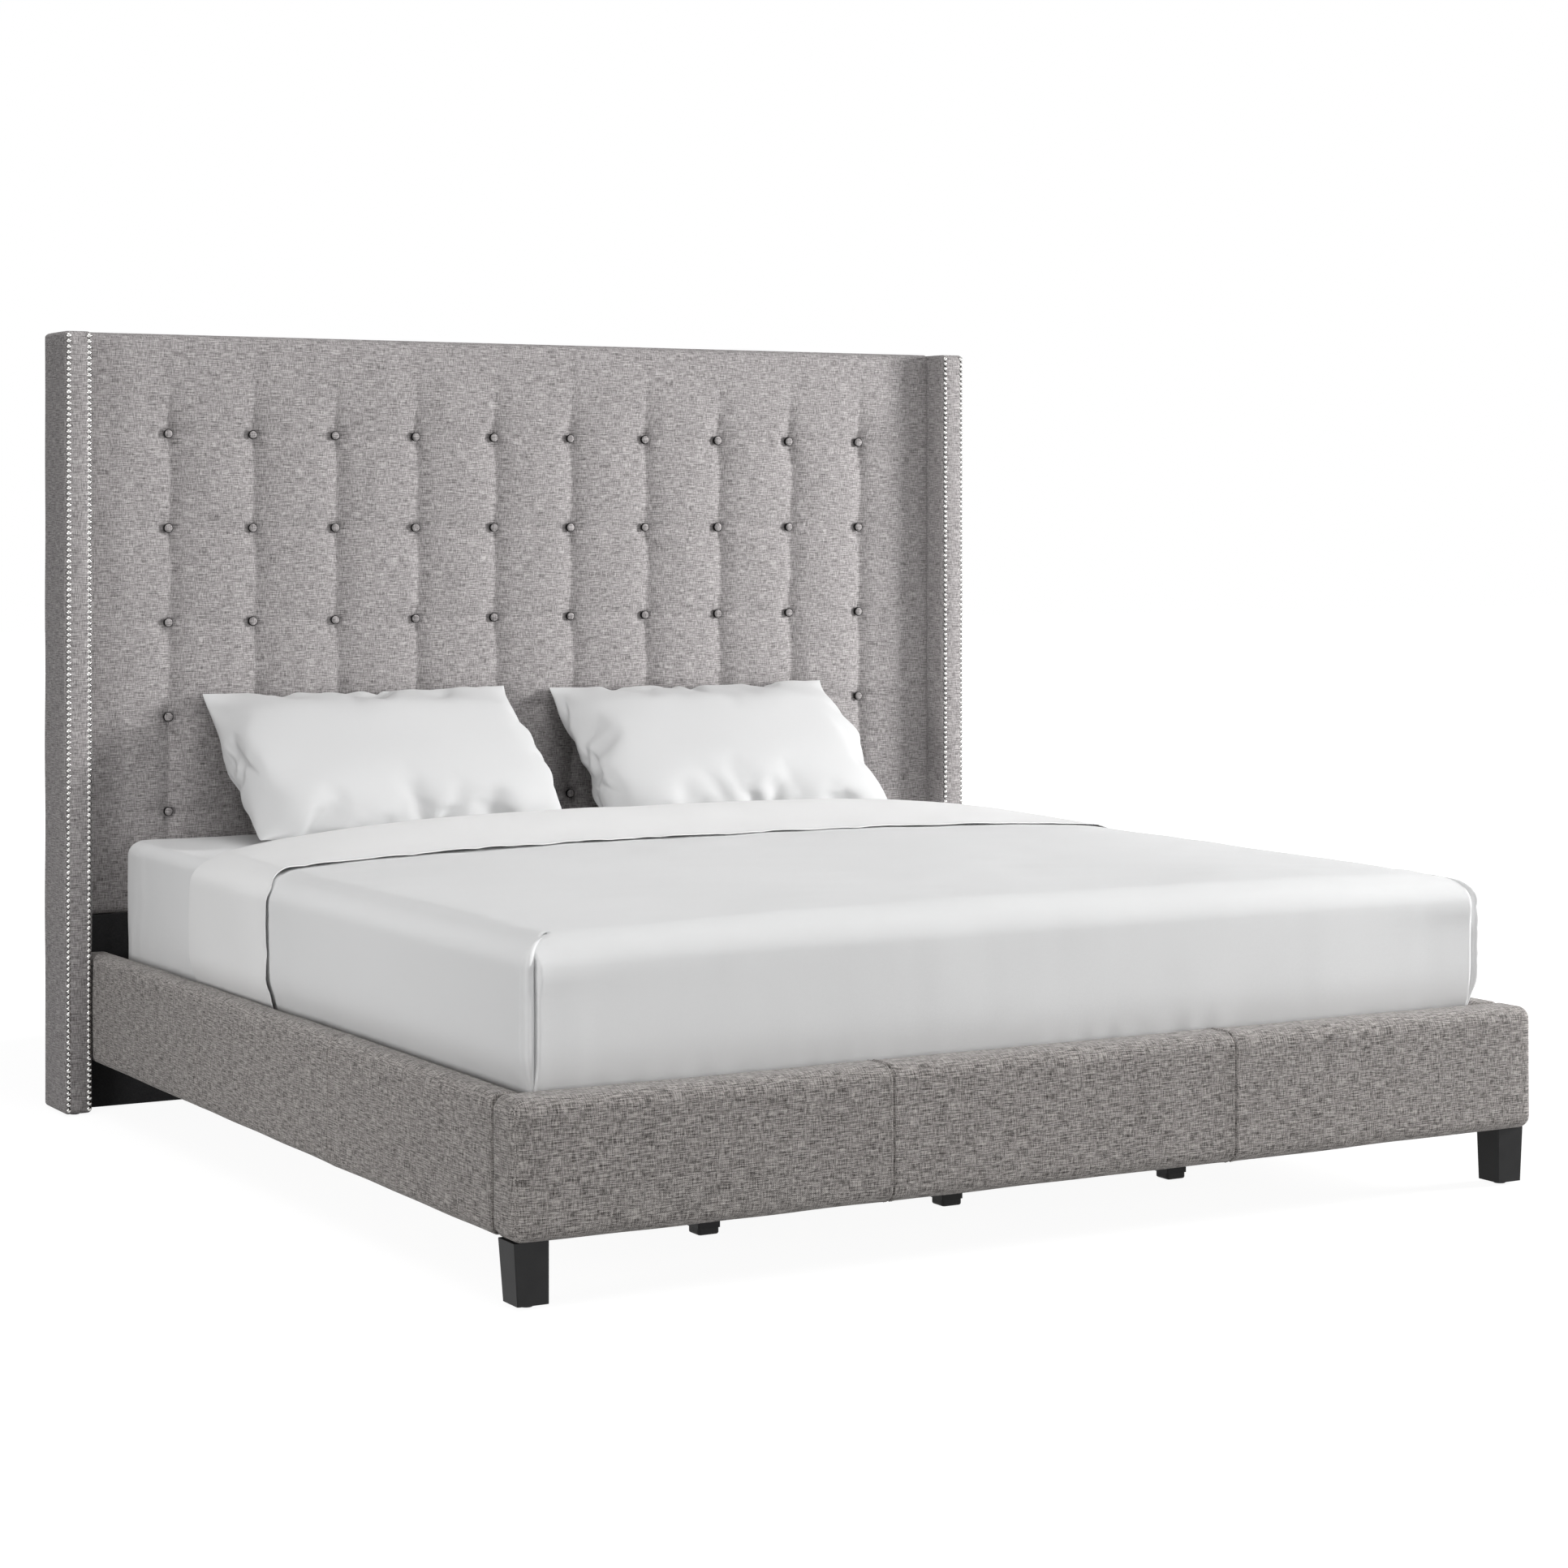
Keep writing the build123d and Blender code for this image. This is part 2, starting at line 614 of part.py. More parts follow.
# Bearers with three support legs each, and the slats between them
support_x = {"left": -support_leg_pitch, "middle": 0, "right": support_leg_pitch}
support_stud_holes = []
for bearer, row in bearer_rows.items():
    bearer_y = row_places[row]
    stud_holes = [Plane(origin=(x, bearer_y, rib_bottom_z - leg_stud_depth)) for x in support_x.values()]
    support_stud_holes += stud_holes
    with BuildPart() as bearer_beam:
        deck_row(bearer_y, bearer_width)
        rib_y = (bearer_y - rib_width / 2, bearer_y + rib_width / 2)
        block((-rib_half_length, rib_half_length), rib_y, (rib_bottom_z, slat_bottom_z))
        pins(stud_holes, bolt_hole_radius, leg_stud_length + end_play)
        screw_holes()
    save(bearer_beam, f"bearer_{bearer}")
    with BuildPart() as support_legs:
        with BuildSketch(Plane.XY.offset(foot_height)):
            with Locations(*[(x, bearer_y) for x in support_x.values()]):
                RectangleRounded(support_leg_size, support_leg_size, support_leg_edge)
        extrude(amount=rib_bottom_z - foot_height)
        pins([Plane(origin=(x, bearer_y, foot_height)) for x in support_x.values()],
             foot_stem_diameter / 2 + stem_play, foot_stem_length + end_play)
        pins(stud_holes, bolt_hole_radius, leg_stud_length + end_play)
    save(support_legs, f"support_legs_{bearer}")
    for place, x in support_x.items():
        with BuildPart() as support_foot:
            with BuildSketch(Plane.XY):
                with Locations((x, bearer_y)):
                    RectangleRounded(foot_size, foot_size, foot_corner_radius)
            extrude(amount=foot_height)
            fillet(support_foot.faces().sort_by(Axis.Z)[0].edges(), foot_edge)
            stem_place = Plane(origin=(x, bearer_y, foot_height))
            pins([stem_place], foot_stem_diameter / 2, foot_stem_length, Mode.ADD)
        save(support_foot, f"support_foot_{bearer}_{place}")

with BuildPart() as slats:
    for row, slat_y in enumerate(row_places):
        if row not in bearer_rows.values():
            deck_row(slat_y, slat_width)
    screw_holes()
save(slats, "slats")

with BuildPart() as leg_studs:
    pins(leg_stud_holes + support_stud_holes, bolt_diameter / 2, leg_stud_length, Mode.ADD)
save(leg_studs, "leg_studs")

# Mattress and bed clothes: each layer is the mattress form grown by the layers under it
mattress_foot_y = footboard_back_y + mattress_foot_gap
mattress_head_y = mattress_foot_y + mattress_length
mattress_bottom_z = deck_top_z + soft_gap
mattress_top_z = mattress_bottom_z + mattress_height
hem_z = mattress_bottom_z + mattress_edge_radius + hem_lift
sheet_growth = soft_gap + sheet_thickness


def grown_mattress(growth, bottom_z, head_y, mode=Mode.ADD):
    """The mattress form, larger by the growth all round, cut off level with its bottom and head."""
    width = mattress_width + 2 * growth
    foot_y = mattress_foot_y - growth
    with BuildPart(mode=Mode.PRIVATE) as layer:
        block((-width / 2, width / 2), (foot_y, head_y), (bottom_z, mattress_top_z + growth))
        fillet(layer.edges().filter_by(Axis.Z), mattress_corner_radius + growth)
        fillet(layer.faces().sort_by(Axis.Z)[-1].edges(), mattress_edge_radius + growth)
    add(layer.part, mode=mode)


with BuildPart() as mattress:
    grown_mattress(0, mattress_bottom_z, mattress_head_y)
    fillet(mattress.faces().sort_by(Axis.Z)[0].edges(), mattress_edge_radius)
save(mattress, "mattress")

with BuildPart() as fitted_sheet:
    grown_mattress(sheet_growth, hem_z, mattress_head_y + sheet_growth)
    grown_mattress(soft_gap, hem_z, mattress_head_y + soft_gap, Mode.SUBTRACT)
save(fitted_sheet, "fitted_sheet")

cover_half_width = mattress_width / 2 + sheet_growth + soft_gap + cover_side_thickness
cover_foot_y = mattress_foot_y - sheet_growth - soft_gap - cover_side_thickness
cover_edge_z = mattress_top_z + sheet_growth + soft_gap + cover_top_thickness


def crowned_layer(growth, head_y, mode=Mode.ADD):
    """A layer with a gently arched top and a soft foot, larger than the bed cover by the growth."""
    half = cover_half_width + growth
    edge_z = cover_edge_z + growth
    foot_y = cover_foot_y - growth
    with BuildPart(mode=Mode.PRIVATE) as layer:
        with BuildSketch(Plane.XZ.offset(-head_y)):
            with BuildLine():
                ThreePointArc((-half, edge_z), (0, edge_z + cover_crown), (half, edge_z))
                Polyline((half, edge_z), (half, hem_z), (-half, hem_z), (-half, edge_z))
            make_face()
        extrude(amount=head_y - foot_y)
        upright_edges = layer.edges().filter_by(Axis.Z).group_by(Axis.Y)[0]
        fillet(upright_edges, cover_corner_radius + growth)
        top_edges = layer.faces().sort_by(Axis.Z)[-1].edges().sort_by(Axis.Y)[:-1]
        fillet(top_edges, cover_shoulder + growth)
    add(layer.part, mode=mode)


with BuildPart() as bed_cover:
    crowned_layer(0, cover_head_y)
    grown_mattress(sheet_growth + soft_gap, hem_z, mattress_head_y, Mode.SUBTRACT)
save(bed_cover, "bed_cover")

cuff_head_y = cover_head_y + soft_gap + cuff_roll
cuff_foot_y = cuff_head_y - cuff_width
with BuildPart() as sheet_cuff:
    crowned_layer(soft_gap + cuff_thickness, cuff_head_y)
    head_edges = sheet_cuff.faces().sort_by(Axis.Y)[-1].edges().sort_by(Axis.Z)[1:]
    fillet(head_edges, cuff_roll - cuff_thickness)
    block((-half_width, half_width), (footboard_front_y, cuff_foot_y), (0, headboard_height), Mode.SUBTRACT)
    crowned_layer(soft_gap, cover_head_y + soft_gap, Mode.SUBTRACT)
    grown_mattress(sheet_growth + soft_gap, hem_z, mattress_head_y, Mode.SUBTRACT)
save(sheet_cuff, "sheet_cuff")


def pillow_section(x, height, thickness):
    """A lens of two arcs across the leaning pillow."""
    height_direction = Vector(0, 1, 0).rotate(Axis.X, pillow_lean)
    lean_plane = Plane(origin=(x, 0, 0), x_dir=height_direction, z_dir=(1, 0, 0))
    with BuildSketch(lean_plane) as lens:
        with BuildLine():
            ThreePointArc((-height / 2, 0), (0, thickness / 2), (height / 2, 0))
            ThreePointArc((height / 2, 0), (0, -thickness / 2), (-height / 2, 0))
        make_face()
    return lens.sketch


with BuildPart() as pillow_form:
    loft(
        [
            pillow_section(place * pillow_width / 2, height * pillow_height, thickness * pillow_thickness)
            for place, height, thickness in pillow_shares
        ]
    )
pillow_box = pillow_form.part.bounding_box()
pillow_y = pad_crest_y - soft_gap - pillow_box.max.Y
pillow_z = mattress_top_z + sheet_growth + soft_gap - pillow_box.min.Z
for hand, pillow_x in (("left", pillow_left_x), ("right", pillow_right_x)):
    with BuildPart() as pillow:
        copies(pillow_form, [Plane(origin=(pillow_x, pillow_y, pillow_z))])
    save(pillow, f"pillow_{hand}")
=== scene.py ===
import json
from math import ceil, pi, radians

import bmesh
import bpy
import numpy as np
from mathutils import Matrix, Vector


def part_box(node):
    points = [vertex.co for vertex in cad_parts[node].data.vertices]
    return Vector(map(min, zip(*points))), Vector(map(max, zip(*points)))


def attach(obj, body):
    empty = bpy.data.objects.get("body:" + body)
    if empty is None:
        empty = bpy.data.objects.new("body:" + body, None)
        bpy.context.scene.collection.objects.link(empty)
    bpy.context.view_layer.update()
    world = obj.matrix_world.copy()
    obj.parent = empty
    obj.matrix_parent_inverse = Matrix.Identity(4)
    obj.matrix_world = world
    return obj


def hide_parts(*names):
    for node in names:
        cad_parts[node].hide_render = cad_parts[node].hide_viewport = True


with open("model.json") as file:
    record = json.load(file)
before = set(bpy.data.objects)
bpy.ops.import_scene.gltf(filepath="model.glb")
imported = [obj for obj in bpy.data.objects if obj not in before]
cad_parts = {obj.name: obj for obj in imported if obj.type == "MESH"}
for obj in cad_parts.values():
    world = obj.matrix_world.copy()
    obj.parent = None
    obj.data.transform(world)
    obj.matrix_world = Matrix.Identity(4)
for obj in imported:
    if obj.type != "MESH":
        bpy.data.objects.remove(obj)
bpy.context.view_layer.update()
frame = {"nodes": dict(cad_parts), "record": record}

bl_info = {
    "name": "Wingback bed",
    "version": (1, 0, 0),
    "blender": (4, 5, 0),
    "location": "3D View > Sidebar > Wingback bed",
    "description": "Dresses the frame of a tufted wingback bed with its upholstery, bedding and stage",
    "category": "Add Mesh",
}


def limits(node):
    """Lowest and highest corner of a CAD node, as arrays."""
    return tuple(np.array(corner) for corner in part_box(node))


PAD_LOW, PAD_HIGH = limits("tufted_pad")
COVER_LOW, COVER_HIGH = limits("bed_cover")
SHEET_LOW, SHEET_HIGH = limits("fitted_sheet")
CUFF_LOW, CUFF_HIGH = limits("sheet_cuff")
MATTRESS_TOP = limits("mattress")[1][2]
SIDE_SWELL = 0.014  # how far the sides of the bed clothes swell
SLOTS = {entry["node"]: entry["material_slot"] for entry in frame["record"]["subparts"]}
FINISHES = {}


# Sizes and colours that a user may change

def length(title, description, default):
    """A length property in metres."""
    return bpy.props.FloatProperty(name=title, description=description, default=default, min=0,
                                   unit="LENGTH", precision=4)


def colour(title, description, default):
    """A colour property."""
    return bpy.props.FloatVectorProperty(name=title, description=description, default=default,
                                         subtype="COLOR", min=0, max=1)


class BedSizes(bpy.types.PropertyGroup):
    """Sizes of the upholstery and the bedding."""

    tuft_columns: bpy.props.IntProperty(name="Button columns", description="Buttons across the headboard",
                                        default=10, min=2)
    tuft_rows: bpy.props.IntProperty(name="Button rows", description="Buttons up the headboard",
                                     default=5, min=1)
    tuft_row_pitch: length("Row pitch", "Height between two rows of buttons", 0.203)
    tuft_top_drop: length("Top drop", "From the top of the pad to the first row of buttons", 0.214)
    dimple_depth: length("Dimple depth", "How far each button draws the pad in", 0.0225)
    crease_depth: length("Crease depth", "Depth of the upright creases between the buttons", 0.0235)
    row_crease_depth: length("Row crease depth", "Depth of the level creases between the buttons", 0.013)
    crease_bow: length("Crease bow", "How far an upright crease bows between two buttons", 0.007)
    button_diameter: length("Button diameter", "Across the rim of a covered button", 0.021)
    seam_place: length("Footboard seam", "From the middle of the footboard to each seam", 0.357)
    seam_depth: length("Seam depth", "Depth of the upholstery seams", 0.003)
    stitch_length: length("Stitch length", "Length of one stitch beside a seam", 0.0048)
    stitch_pitch: length("Stitch pitch", "From one stitch to the next", 0.0072)
    cover_thickness: length("Cover thickness", "Thickness of the bed cover's cloth", 0.003)
    sheet_thickness: length("Sheet thickness", "Thickness of both sheets' cloth", 0.0016)
    pleat_height: length("Pleat height", "How far the foot pleats stand from the cover", 0.007)
    pillow_width: length("Pillow width", "Width of a filled pillow", 0.715)
    pillow_height: length("Pillow height", "Height of a filled pillow", 0.457)
    pillow_thickness: length("Pillow thickness", "Thickness of a filled pillow", 0.156)
    pillow_lean: bpy.props.FloatProperty(name="Pillow lean", description="Slope of a pillow from level",
                                         default=radians(40), subtype="ANGLE")
    pillow_air: bpy.props.FloatProperty(name="Pillow filling", description="Pressure that fills a pillow",
                                        default=5, min=0)


class BedColours(bpy.types.PropertyGroup):
    """Colours of the finishes."""

    linen_light: colour("Linen, light", "Light threads of the headboard linen", (0.52, 0.495, 0.492))
    linen_dark: colour("Linen, dark", "Dark threads of the headboard linen", (0.102, 0.093, 0.094))
    frame_light: colour("Frame linen, light", "Light threads of the frame linen", (0.515, 0.483, 0.462))
    frame_dark: colour("Frame linen, dark", "Dark threads of the frame linen", (0.058, 0.052, 0.049))
    # Nearly black: painted shade of the pinched fold round each button, shaped as a metal rim
    button_rim: colour("Button rim", "Dark metal rim of a button", (0.02, 0.0195, 0.02))
    cotton: colour("Bed cover", "White cotton of the bed cover", (0.80, 0.803, 0.805))
    # Lighter than the bed cover's white: painted light that offsets the wing's shade on the sheet's side
    sheet_cotton: colour("Fitted sheet", "White cotton of the fitted sheet", (0.84, 0.843, 0.845))
    cuff_cotton: colour("Sheet cuff", "White cotton of the turned-down top sheet", (0.88, 0.88, 0.878))
    # Darker than the bed cover's white: painted shade that keeps the pillows' lit tops from clipping
    pillow_cotton: colour("Pillowcase", "White cotton of the pillows", (0.645, 0.647, 0.649))
    ticking: colour("Ticking", "Cloth of the mattress", (0.74, 0.74, 0.72))
    lining: colour("Lining", "Black cloth behind and below the headboard", (0.012, 0.012, 0.013))
    lacquer: colour("Lacquer", "Black lacquer of the legs", (0.006, 0.006, 0.0064))
    plastic: colour("Plastic", "Black plastic of the glides", (0.02, 0.02, 0.02))
    nickel: colour("Nickel", "Polished nickel of the nail trim", (0.60, 0.59, 0.575))
    zinc: colour("Zinc", "Zinc plate of the fittings", (0.52, 0.53, 0.54))
    pine: colour("Pine", "Planed pine of the deck", (0.60, 0.43, 0.25))
    softwood: colour("Softwood", "Sawn softwood inside the frame", (0.50, 0.36, 0.22))
    plywood: colour("Plywood", "Board behind the tufting", (0.46, 0.33, 0.20))


# Shader maths

def put(tree, socket, value):
    """Set a socket to a number or colour, or link it."""
    if isinstance(value, Value):
        tree.links.new(value.socket, socket)
    elif socket.type == "RGBA":
        socket.default_value = (*value, 1)
    else:
        socket.default_value = value


def add_node(tree, kind, settings=None, inputs=None, out=0):
    """Any node: its type, its settings, which are set first, then the values or links of its sockets."""
    node = tree.nodes.new(kind)
    for name, value in (settings or {}).items():
        if name == "stops":
            ramp = node.color_ramp.elements
            while len(ramp) < len(value):
                ramp.new(1)
            for element, (place, shade) in zip(ramp, value):
                element.position, element.color = place, (*shade, 1)
        else:
            setattr(node, name, value)
    for socket, value in (inputs or {}).items():
        put(tree, node.inputs[socket], value)
    return Value(tree, node.outputs[out])


def node_math(operation, *values):
    """The Math node of an operation on sockets and numbers."""
    tree = next(value.tree for value in values if isinstance(value, Value))
    return add_node(tree, "ShaderNodeMath", {"operation": operation}, dict(enumerate(values)))


class Value:
    """A shader socket that takes part in sums. Each sign adds its Math node."""

    def __init__(self, tree, socket):
        self.tree, self.socket = tree, socket

    def output(self, name):
        """Another output of the same node."""
        return Value(self.tree, self.socket.node.outputs[name])

    def __add__(self, other):
        return node_math("ADD", self, other)

    def __sub__(self, other):
        return node_math("SUBTRACT", self, other)

    def __rsub__(self, other):
        return node_math("SUBTRACT", other, self)

    def __mul__(self, other):
        return node_math("MULTIPLY", self, other)

    __radd__ = __add__
    __rmul__ = __mul__


class Finish:
    """The node tree of one material. Constants are set on the shader's own sockets."""

    def __init__(self, name, constants):
        self.material = bpy.data.materials.new(name)
        self.material.use_nodes = True
        self.tree = self.material.node_tree
        self.shader = self.tree.nodes["Principled BSDF"]
        for socket, value in constants.items():
            self.link(socket, value)

    def link(self, socket, value):
        put(self.tree, self.shader.inputs[socket], value)

    def node(self, *wanted):
        """A node of this material, as add_node makes it."""
        return add_node(self.tree, *wanted)

    def split(self, vector):
        """The three parts of a vector."""
        parts = self.node("ShaderNodeSeparateXYZ", None, {0: vector})
        return [parts.output(number) for number in range(3)]

    def cloth(self):
        """Place on the cloth, in metres, from the piece's own map."""
        return self.split(self.node("ShaderNodeUVMap", {"uv_map": "cloth"}))[:2]

    def place(self):
        """Place in the object, in metres."""
        return self.split(self.node("ShaderNodeTexCoord", None, None, 3))

    def noise(self, x, y, z=0.0, detail=2.0):
        """Smooth noise about 0 at the place (x, y, z)."""
        spot = self.node("ShaderNodeCombineXYZ", None, {0: x, 1: y, 2: z})
        return self.node("ShaderNodeTexNoise", None, {"Vector": spot, "Scale": 1.0, "Detail": detail}) - 0.5

    def mix(self, share, first, second):
        """A colour between two others."""
        return self.node("ShaderNodeMix", {"data_type": "RGBA"}, {0: share, 6: first, 7: second}, 2)

    def relief(self, height, distance, strength=1.0):
        """Let a height of 0 to 1 raise the surface by up to the distance."""
        bump = {"Height": height, "Distance": distance, "Strength": strength}
        self.link("Normal", self.node("ShaderNodeBump", None, bump))


def wave(place, pitch):
    """A sine from -1 to 1 that repeats at the pitch."""
    return node_math("SINE", place * (2 * pi / pitch))


def toned(shade, factor, lift=0.0):
    """A colour times a factor, then lifted evenly."""
    return tuple(part * factor + lift for part in shade)


def linen(name, light, dark, thread, contrast):
    """Heathered linen. Long flecks run along each thread direction over a plain weave of that pitch,
    and the sum of the flecks picks a shade between the dark and the light thread."""
    finish = Finish(name, {"Sheen Weight": 0.1, "Sheen Roughness": 0.5, "Specular IOR Level": 0.2})
    x, y = finish.cloth()
    slack = finish.noise(x * 45, y * 45, 3.0) * (thread * 1.6)
    weft = finish.noise(x * 36, y * 620, 0.0, 3.0)
    warp = finish.noise(x * 620, y * 52, 4.0, 3.0)
    fine = finish.noise(x * 110, y * 560, 5.0) + finish.noise(x * 560, y * 110, 8.0)
    fleck = finish.noise(x * 620, y * 620, 9.0)
    cloud = finish.noise(x * 14, y * 14, 2.0, 3.0)
    weave = wave(x + slack, thread * 2) * wave(y + slack, thread * 2)
    flecks = weft * 1.5 + warp * 1.1 + fine * 0.6 + fleck * 0.4
    tone = 0.5 + (flecks * contrast + cloud * 0.14 + weave * 0.07)
    middle = tuple((a + b) / 2.15 for a, b in zip(light, dark))
    stops = [(0.05, dark), (0.5, middle), (0.95, light)]
    finish.link("Base Color", finish.node("ShaderNodeValToRGB", {"stops": stops}, {0: tone}))
    finish.link("Roughness", 0.93 - tone * 0.12)
    finish.relief(0.5 + weave * 0.22 + flecks * 0.6, thread * 0.55, 0.75)
    return finish.material


def percale(name, shade, crumple):
    """Smooth cotton: a fine plain weave, faint creases and a slight drift of tone."""
    finish = Finish(name, {"Sheen Weight": 0.06, "Sheen Roughness": 0.4, "Specular IOR Level": 0.25})
    x, y = finish.cloth()
    drift = finish.noise(x * 5, y * 5, 1.0, 3.0)
    thread = wave(x, 0.0011) * wave(y, 0.0011)
    streak = finish.noise(x * 380, y * 60, 2.0) + finish.noise(x * 60, y * 380, 5.0)
    crease = finish.noise(x * 16, y * 11, 7.0, 4.0)
    tone = 0.5 + drift * 0.5 + streak * 0.25
    finish.link("Base Color", finish.mix(tone, toned(shade, 0.955), shade))
    finish.link("Roughness", 0.72 + streak * 0.1)
    finish.relief(0.5 + thread * 0.03 + streak * 0.04 + crease * crumple, 0.004, 0.6)
    return finish.material


def lining(name, shade):
    """Thin black cloth with a fine crossed thread."""
    finish = Finish(name, {"Specular IOR Level": 0.25, "Sheen Weight": 0.1})
    x, y, z = finish.place()
    threads = finish.noise(x * 900, y * 200, z * 160) + finish.noise(x * 160, y * 200, z * 900)
    lint = finish.noise(x * 60, y * 60, z * 60, 4.0)
    tone = 0.35 + threads * 0.8 + lint * 0.4
    finish.link("Base Color", finish.mix(tone, shade, toned(shade, 2.0, 0.02)))
    finish.link("Roughness", 0.9 - threads * 0.1)
    finish.relief(0.5 + threads * 0.5, 0.0005)
    return finish.material


def metal(name, shade, roughness, brushed, recess=None):
    """Metal with fine scratches and a faint cloud in its polish. Where a recess is given as the y of the
    cloth behind the heads, the metal gets darker from 2.2 to 0.8 mm in front of it: painted shade round the
    foot of each nail head."""
    finish = Finish(name, {"Metallic": 1.0})
    x, y, z = finish.place()
    cloud = finish.noise(x * 90, y * 90, z * 90, 3.0)
    scratch = finish.noise(x * 2600, y * 260, z * 260) * brushed
    tone = finish.mix(0.35 + cloud * 1.2, shade, toned(shade, 0.72))
    if recess is not None:
        # Painted shade: nearly black where the nail heads meet the cloth behind them
        tone = finish.mix((y - (recess - 0.0022)) * 700.0, tone, toned(shade, 0.06))
    finish.link("Base Color", tone)
    finish.link("Roughness", roughness + cloud * 0.12 + scratch * 0.3)
    finish.relief(0.5 + scratch, 0.0001)
    return finish.material


def moulded(name, shade, roughness, coat):
    """Lacquer or moulded plastic with a slight orange peel and rubbed patches."""
    finish = Finish(name, {"Coat Roughness": 0.25, "Coat Weight": coat, "Specular IOR Level": 0.2})
    x, y, z = finish.place()
    peel = finish.noise(x * 420, y * 420, z * 420)
    rub = finish.noise(x * 24, y * 24, z * 24, 4.0)
    finish.link("Base Color", finish.mix(0.3 + rub * 0.9, shade, toned(shade, 1.6, 0.012)))
    finish.link("Roughness", roughness + rub * 0.14)
    finish.relief(0.5 + peel * 0.5, 0.0002)
    return finish.material


def timber(name, shade, ring, along_x):
    """Wood with drawn-out growth lines and darker pores along its length."""
    finish = Finish(name, {"Specular IOR Level": 0.35})
    x, y, z = finish.place()
    run, side, depth = (x, y, z) if along_x else (z, x, y)
    bend = finish.noise(run * 1.6, side * 9, depth * 9, 3.0)
    lines = wave(side + depth * 0.6 + bend * 0.05, ring)
    pores = finish.noise(run * 26, side * 800, depth * 800)
    tone = 0.5 + lines * 0.22 + pores * 0.7 + bend * 0.5
    dark = (shade[0] * 0.62, shade[1] * 0.52, shade[2] * 0.42)
    stops = [(0.1, dark), (0.75, shade)]
    finish.link("Base Color", finish.node("ShaderNodeValToRGB", {"stops": stops}, {0: tone}))
    finish.link("Roughness", 0.62 + pores * 0.25)
    finish.relief(tone, 0.0005, 0.6)
    return finish.material


# Surfaces

def steps(low, high, spacing):
    """Even places from low to high, both included, no further apart than the spacing."""
    return np.linspace(low, high, max(2, ceil((high - low) / spacing - 1e-6) + 1))


def smooth(value):
    """0 below 0, 1 above 1, and an even S between them."""
    value = np.clip(value, 0, 1)
    return value * value * (3 - 2 * value)


def bell(value):
    """exp(-value^2)."""
    return np.exp(-(value**2))


def fade(distance, reach):
    """1 up to a distance of 0, then falling off as exp(-distance / reach)."""
    return np.exp(-np.maximum(distance, 0) / reach)


def rows_of(*parts):
    """Rows of coordinates from their parts, which may be single numbers."""
    return np.stack(np.broadcast_arrays(*parts), -1)


def unit(ways):
    """Directions of length 1."""
    return ways / np.linalg.norm(ways, axis=-1, keepdims=True)


def ripples(seed, size, *places):
    """Unevenness of about -1 to 1: sixteen sine waves of nearly one length, laid in all directions."""
    rng = np.random.default_rng(seed)
    ways = rng.normal(size=(16, len(places)))
    ways *= (2 * pi / size) * rng.uniform(0.6, 1.5, (16, 1)) / np.linalg.norm(ways, axis=1, keepdims=True)
    phases = rng.uniform(0, 2 * pi, 16)
    waves = sum(np.sin(sum(place * part for place, part in zip(places, way)) + phase)
                for way, phase in zip(ways, phases))
    return waves / 5


def net(grid):
    """Points and four-sided faces of a grid of points."""
    rows, columns = grid.shape[:2]
    index = np.arange(rows * columns).reshape(rows, columns)
    faces = rows_of(index[:-1, :-1], index[1:, :-1], index[1:, 1:], index[:-1, 1:])
    return grid.reshape(-1, 3), faces.reshape(-1, 4)


def repeat(form, places, across, along, out):
    """One copy of a small form at each place. Its x, y and z run along those three directions."""
    points, faces = form
    turned = (points[None, :, 0, None] * across[:, None] + points[None, :, 1, None] * along[:, None]
              + points[None, :, 2, None] * out[:, None])
    shift = np.arange(len(places))[:, None, None] * len(points)
    return (places[:, None] + turned).reshape(-1, 3), (faces[None] + shift).reshape(-1, faces.shape[1])


def lathe(profile, sides):
    """A profile of (radius, height) pairs turned about z."""
    turn = np.linspace(0, 2 * pi, sides + 1)[None]
    radius, height = (np.array(part, float)[:, None] for part in zip(*profile))
    return net(rows_of(radius * np.cos(turn), radius * np.sin(turn), height))


def map_cloth(mesh):
    """Cloth map in metres: each face is laid flat along the axis that it faces most."""
    normals = np.empty(len(mesh.polygons) * 3, np.float32)
    totals = np.empty(len(mesh.polygons), np.int32)
    corners = np.empty(len(mesh.loops), np.int32)
    mesh.polygons.foreach_get("normal", normals)
    mesh.polygons.foreach_get("loop_total", totals)
    mesh.loops.foreach_get("vertex_index", corners)
    facing = np.repeat(np.abs(normals.reshape(-1, 3)).argmax(1), totals)
    x, y, z = read_points(mesh)[corners].T
    place = rows_of(np.where(facing == 0, y, x), np.where(facing == 2, y, z))
    mesh.uv_layers.new(name="cloth").data.foreach_set("uv", place.astype(np.float32).ravel())


def read_points(mesh):
    """The points of a mesh, as rows."""
    points = np.empty(len(mesh.vertices) * 3, np.float32)
    mesh.vertices.foreach_get("co", points)
    return points.reshape(-1, 3).astype(float)


def new_mesh(name, points, faces):
    """A mesh of points, given as rows, and faces."""
    mesh = bpy.data.meshes.new(name)
    mesh.from_pydata(points.tolist(), [], faces)
    return mesh


def show(name, data):
    """A new object in the scene."""
    made = bpy.data.objects.new(name, data)
    bpy.context.scene.collection.objects.link(made)
    return made


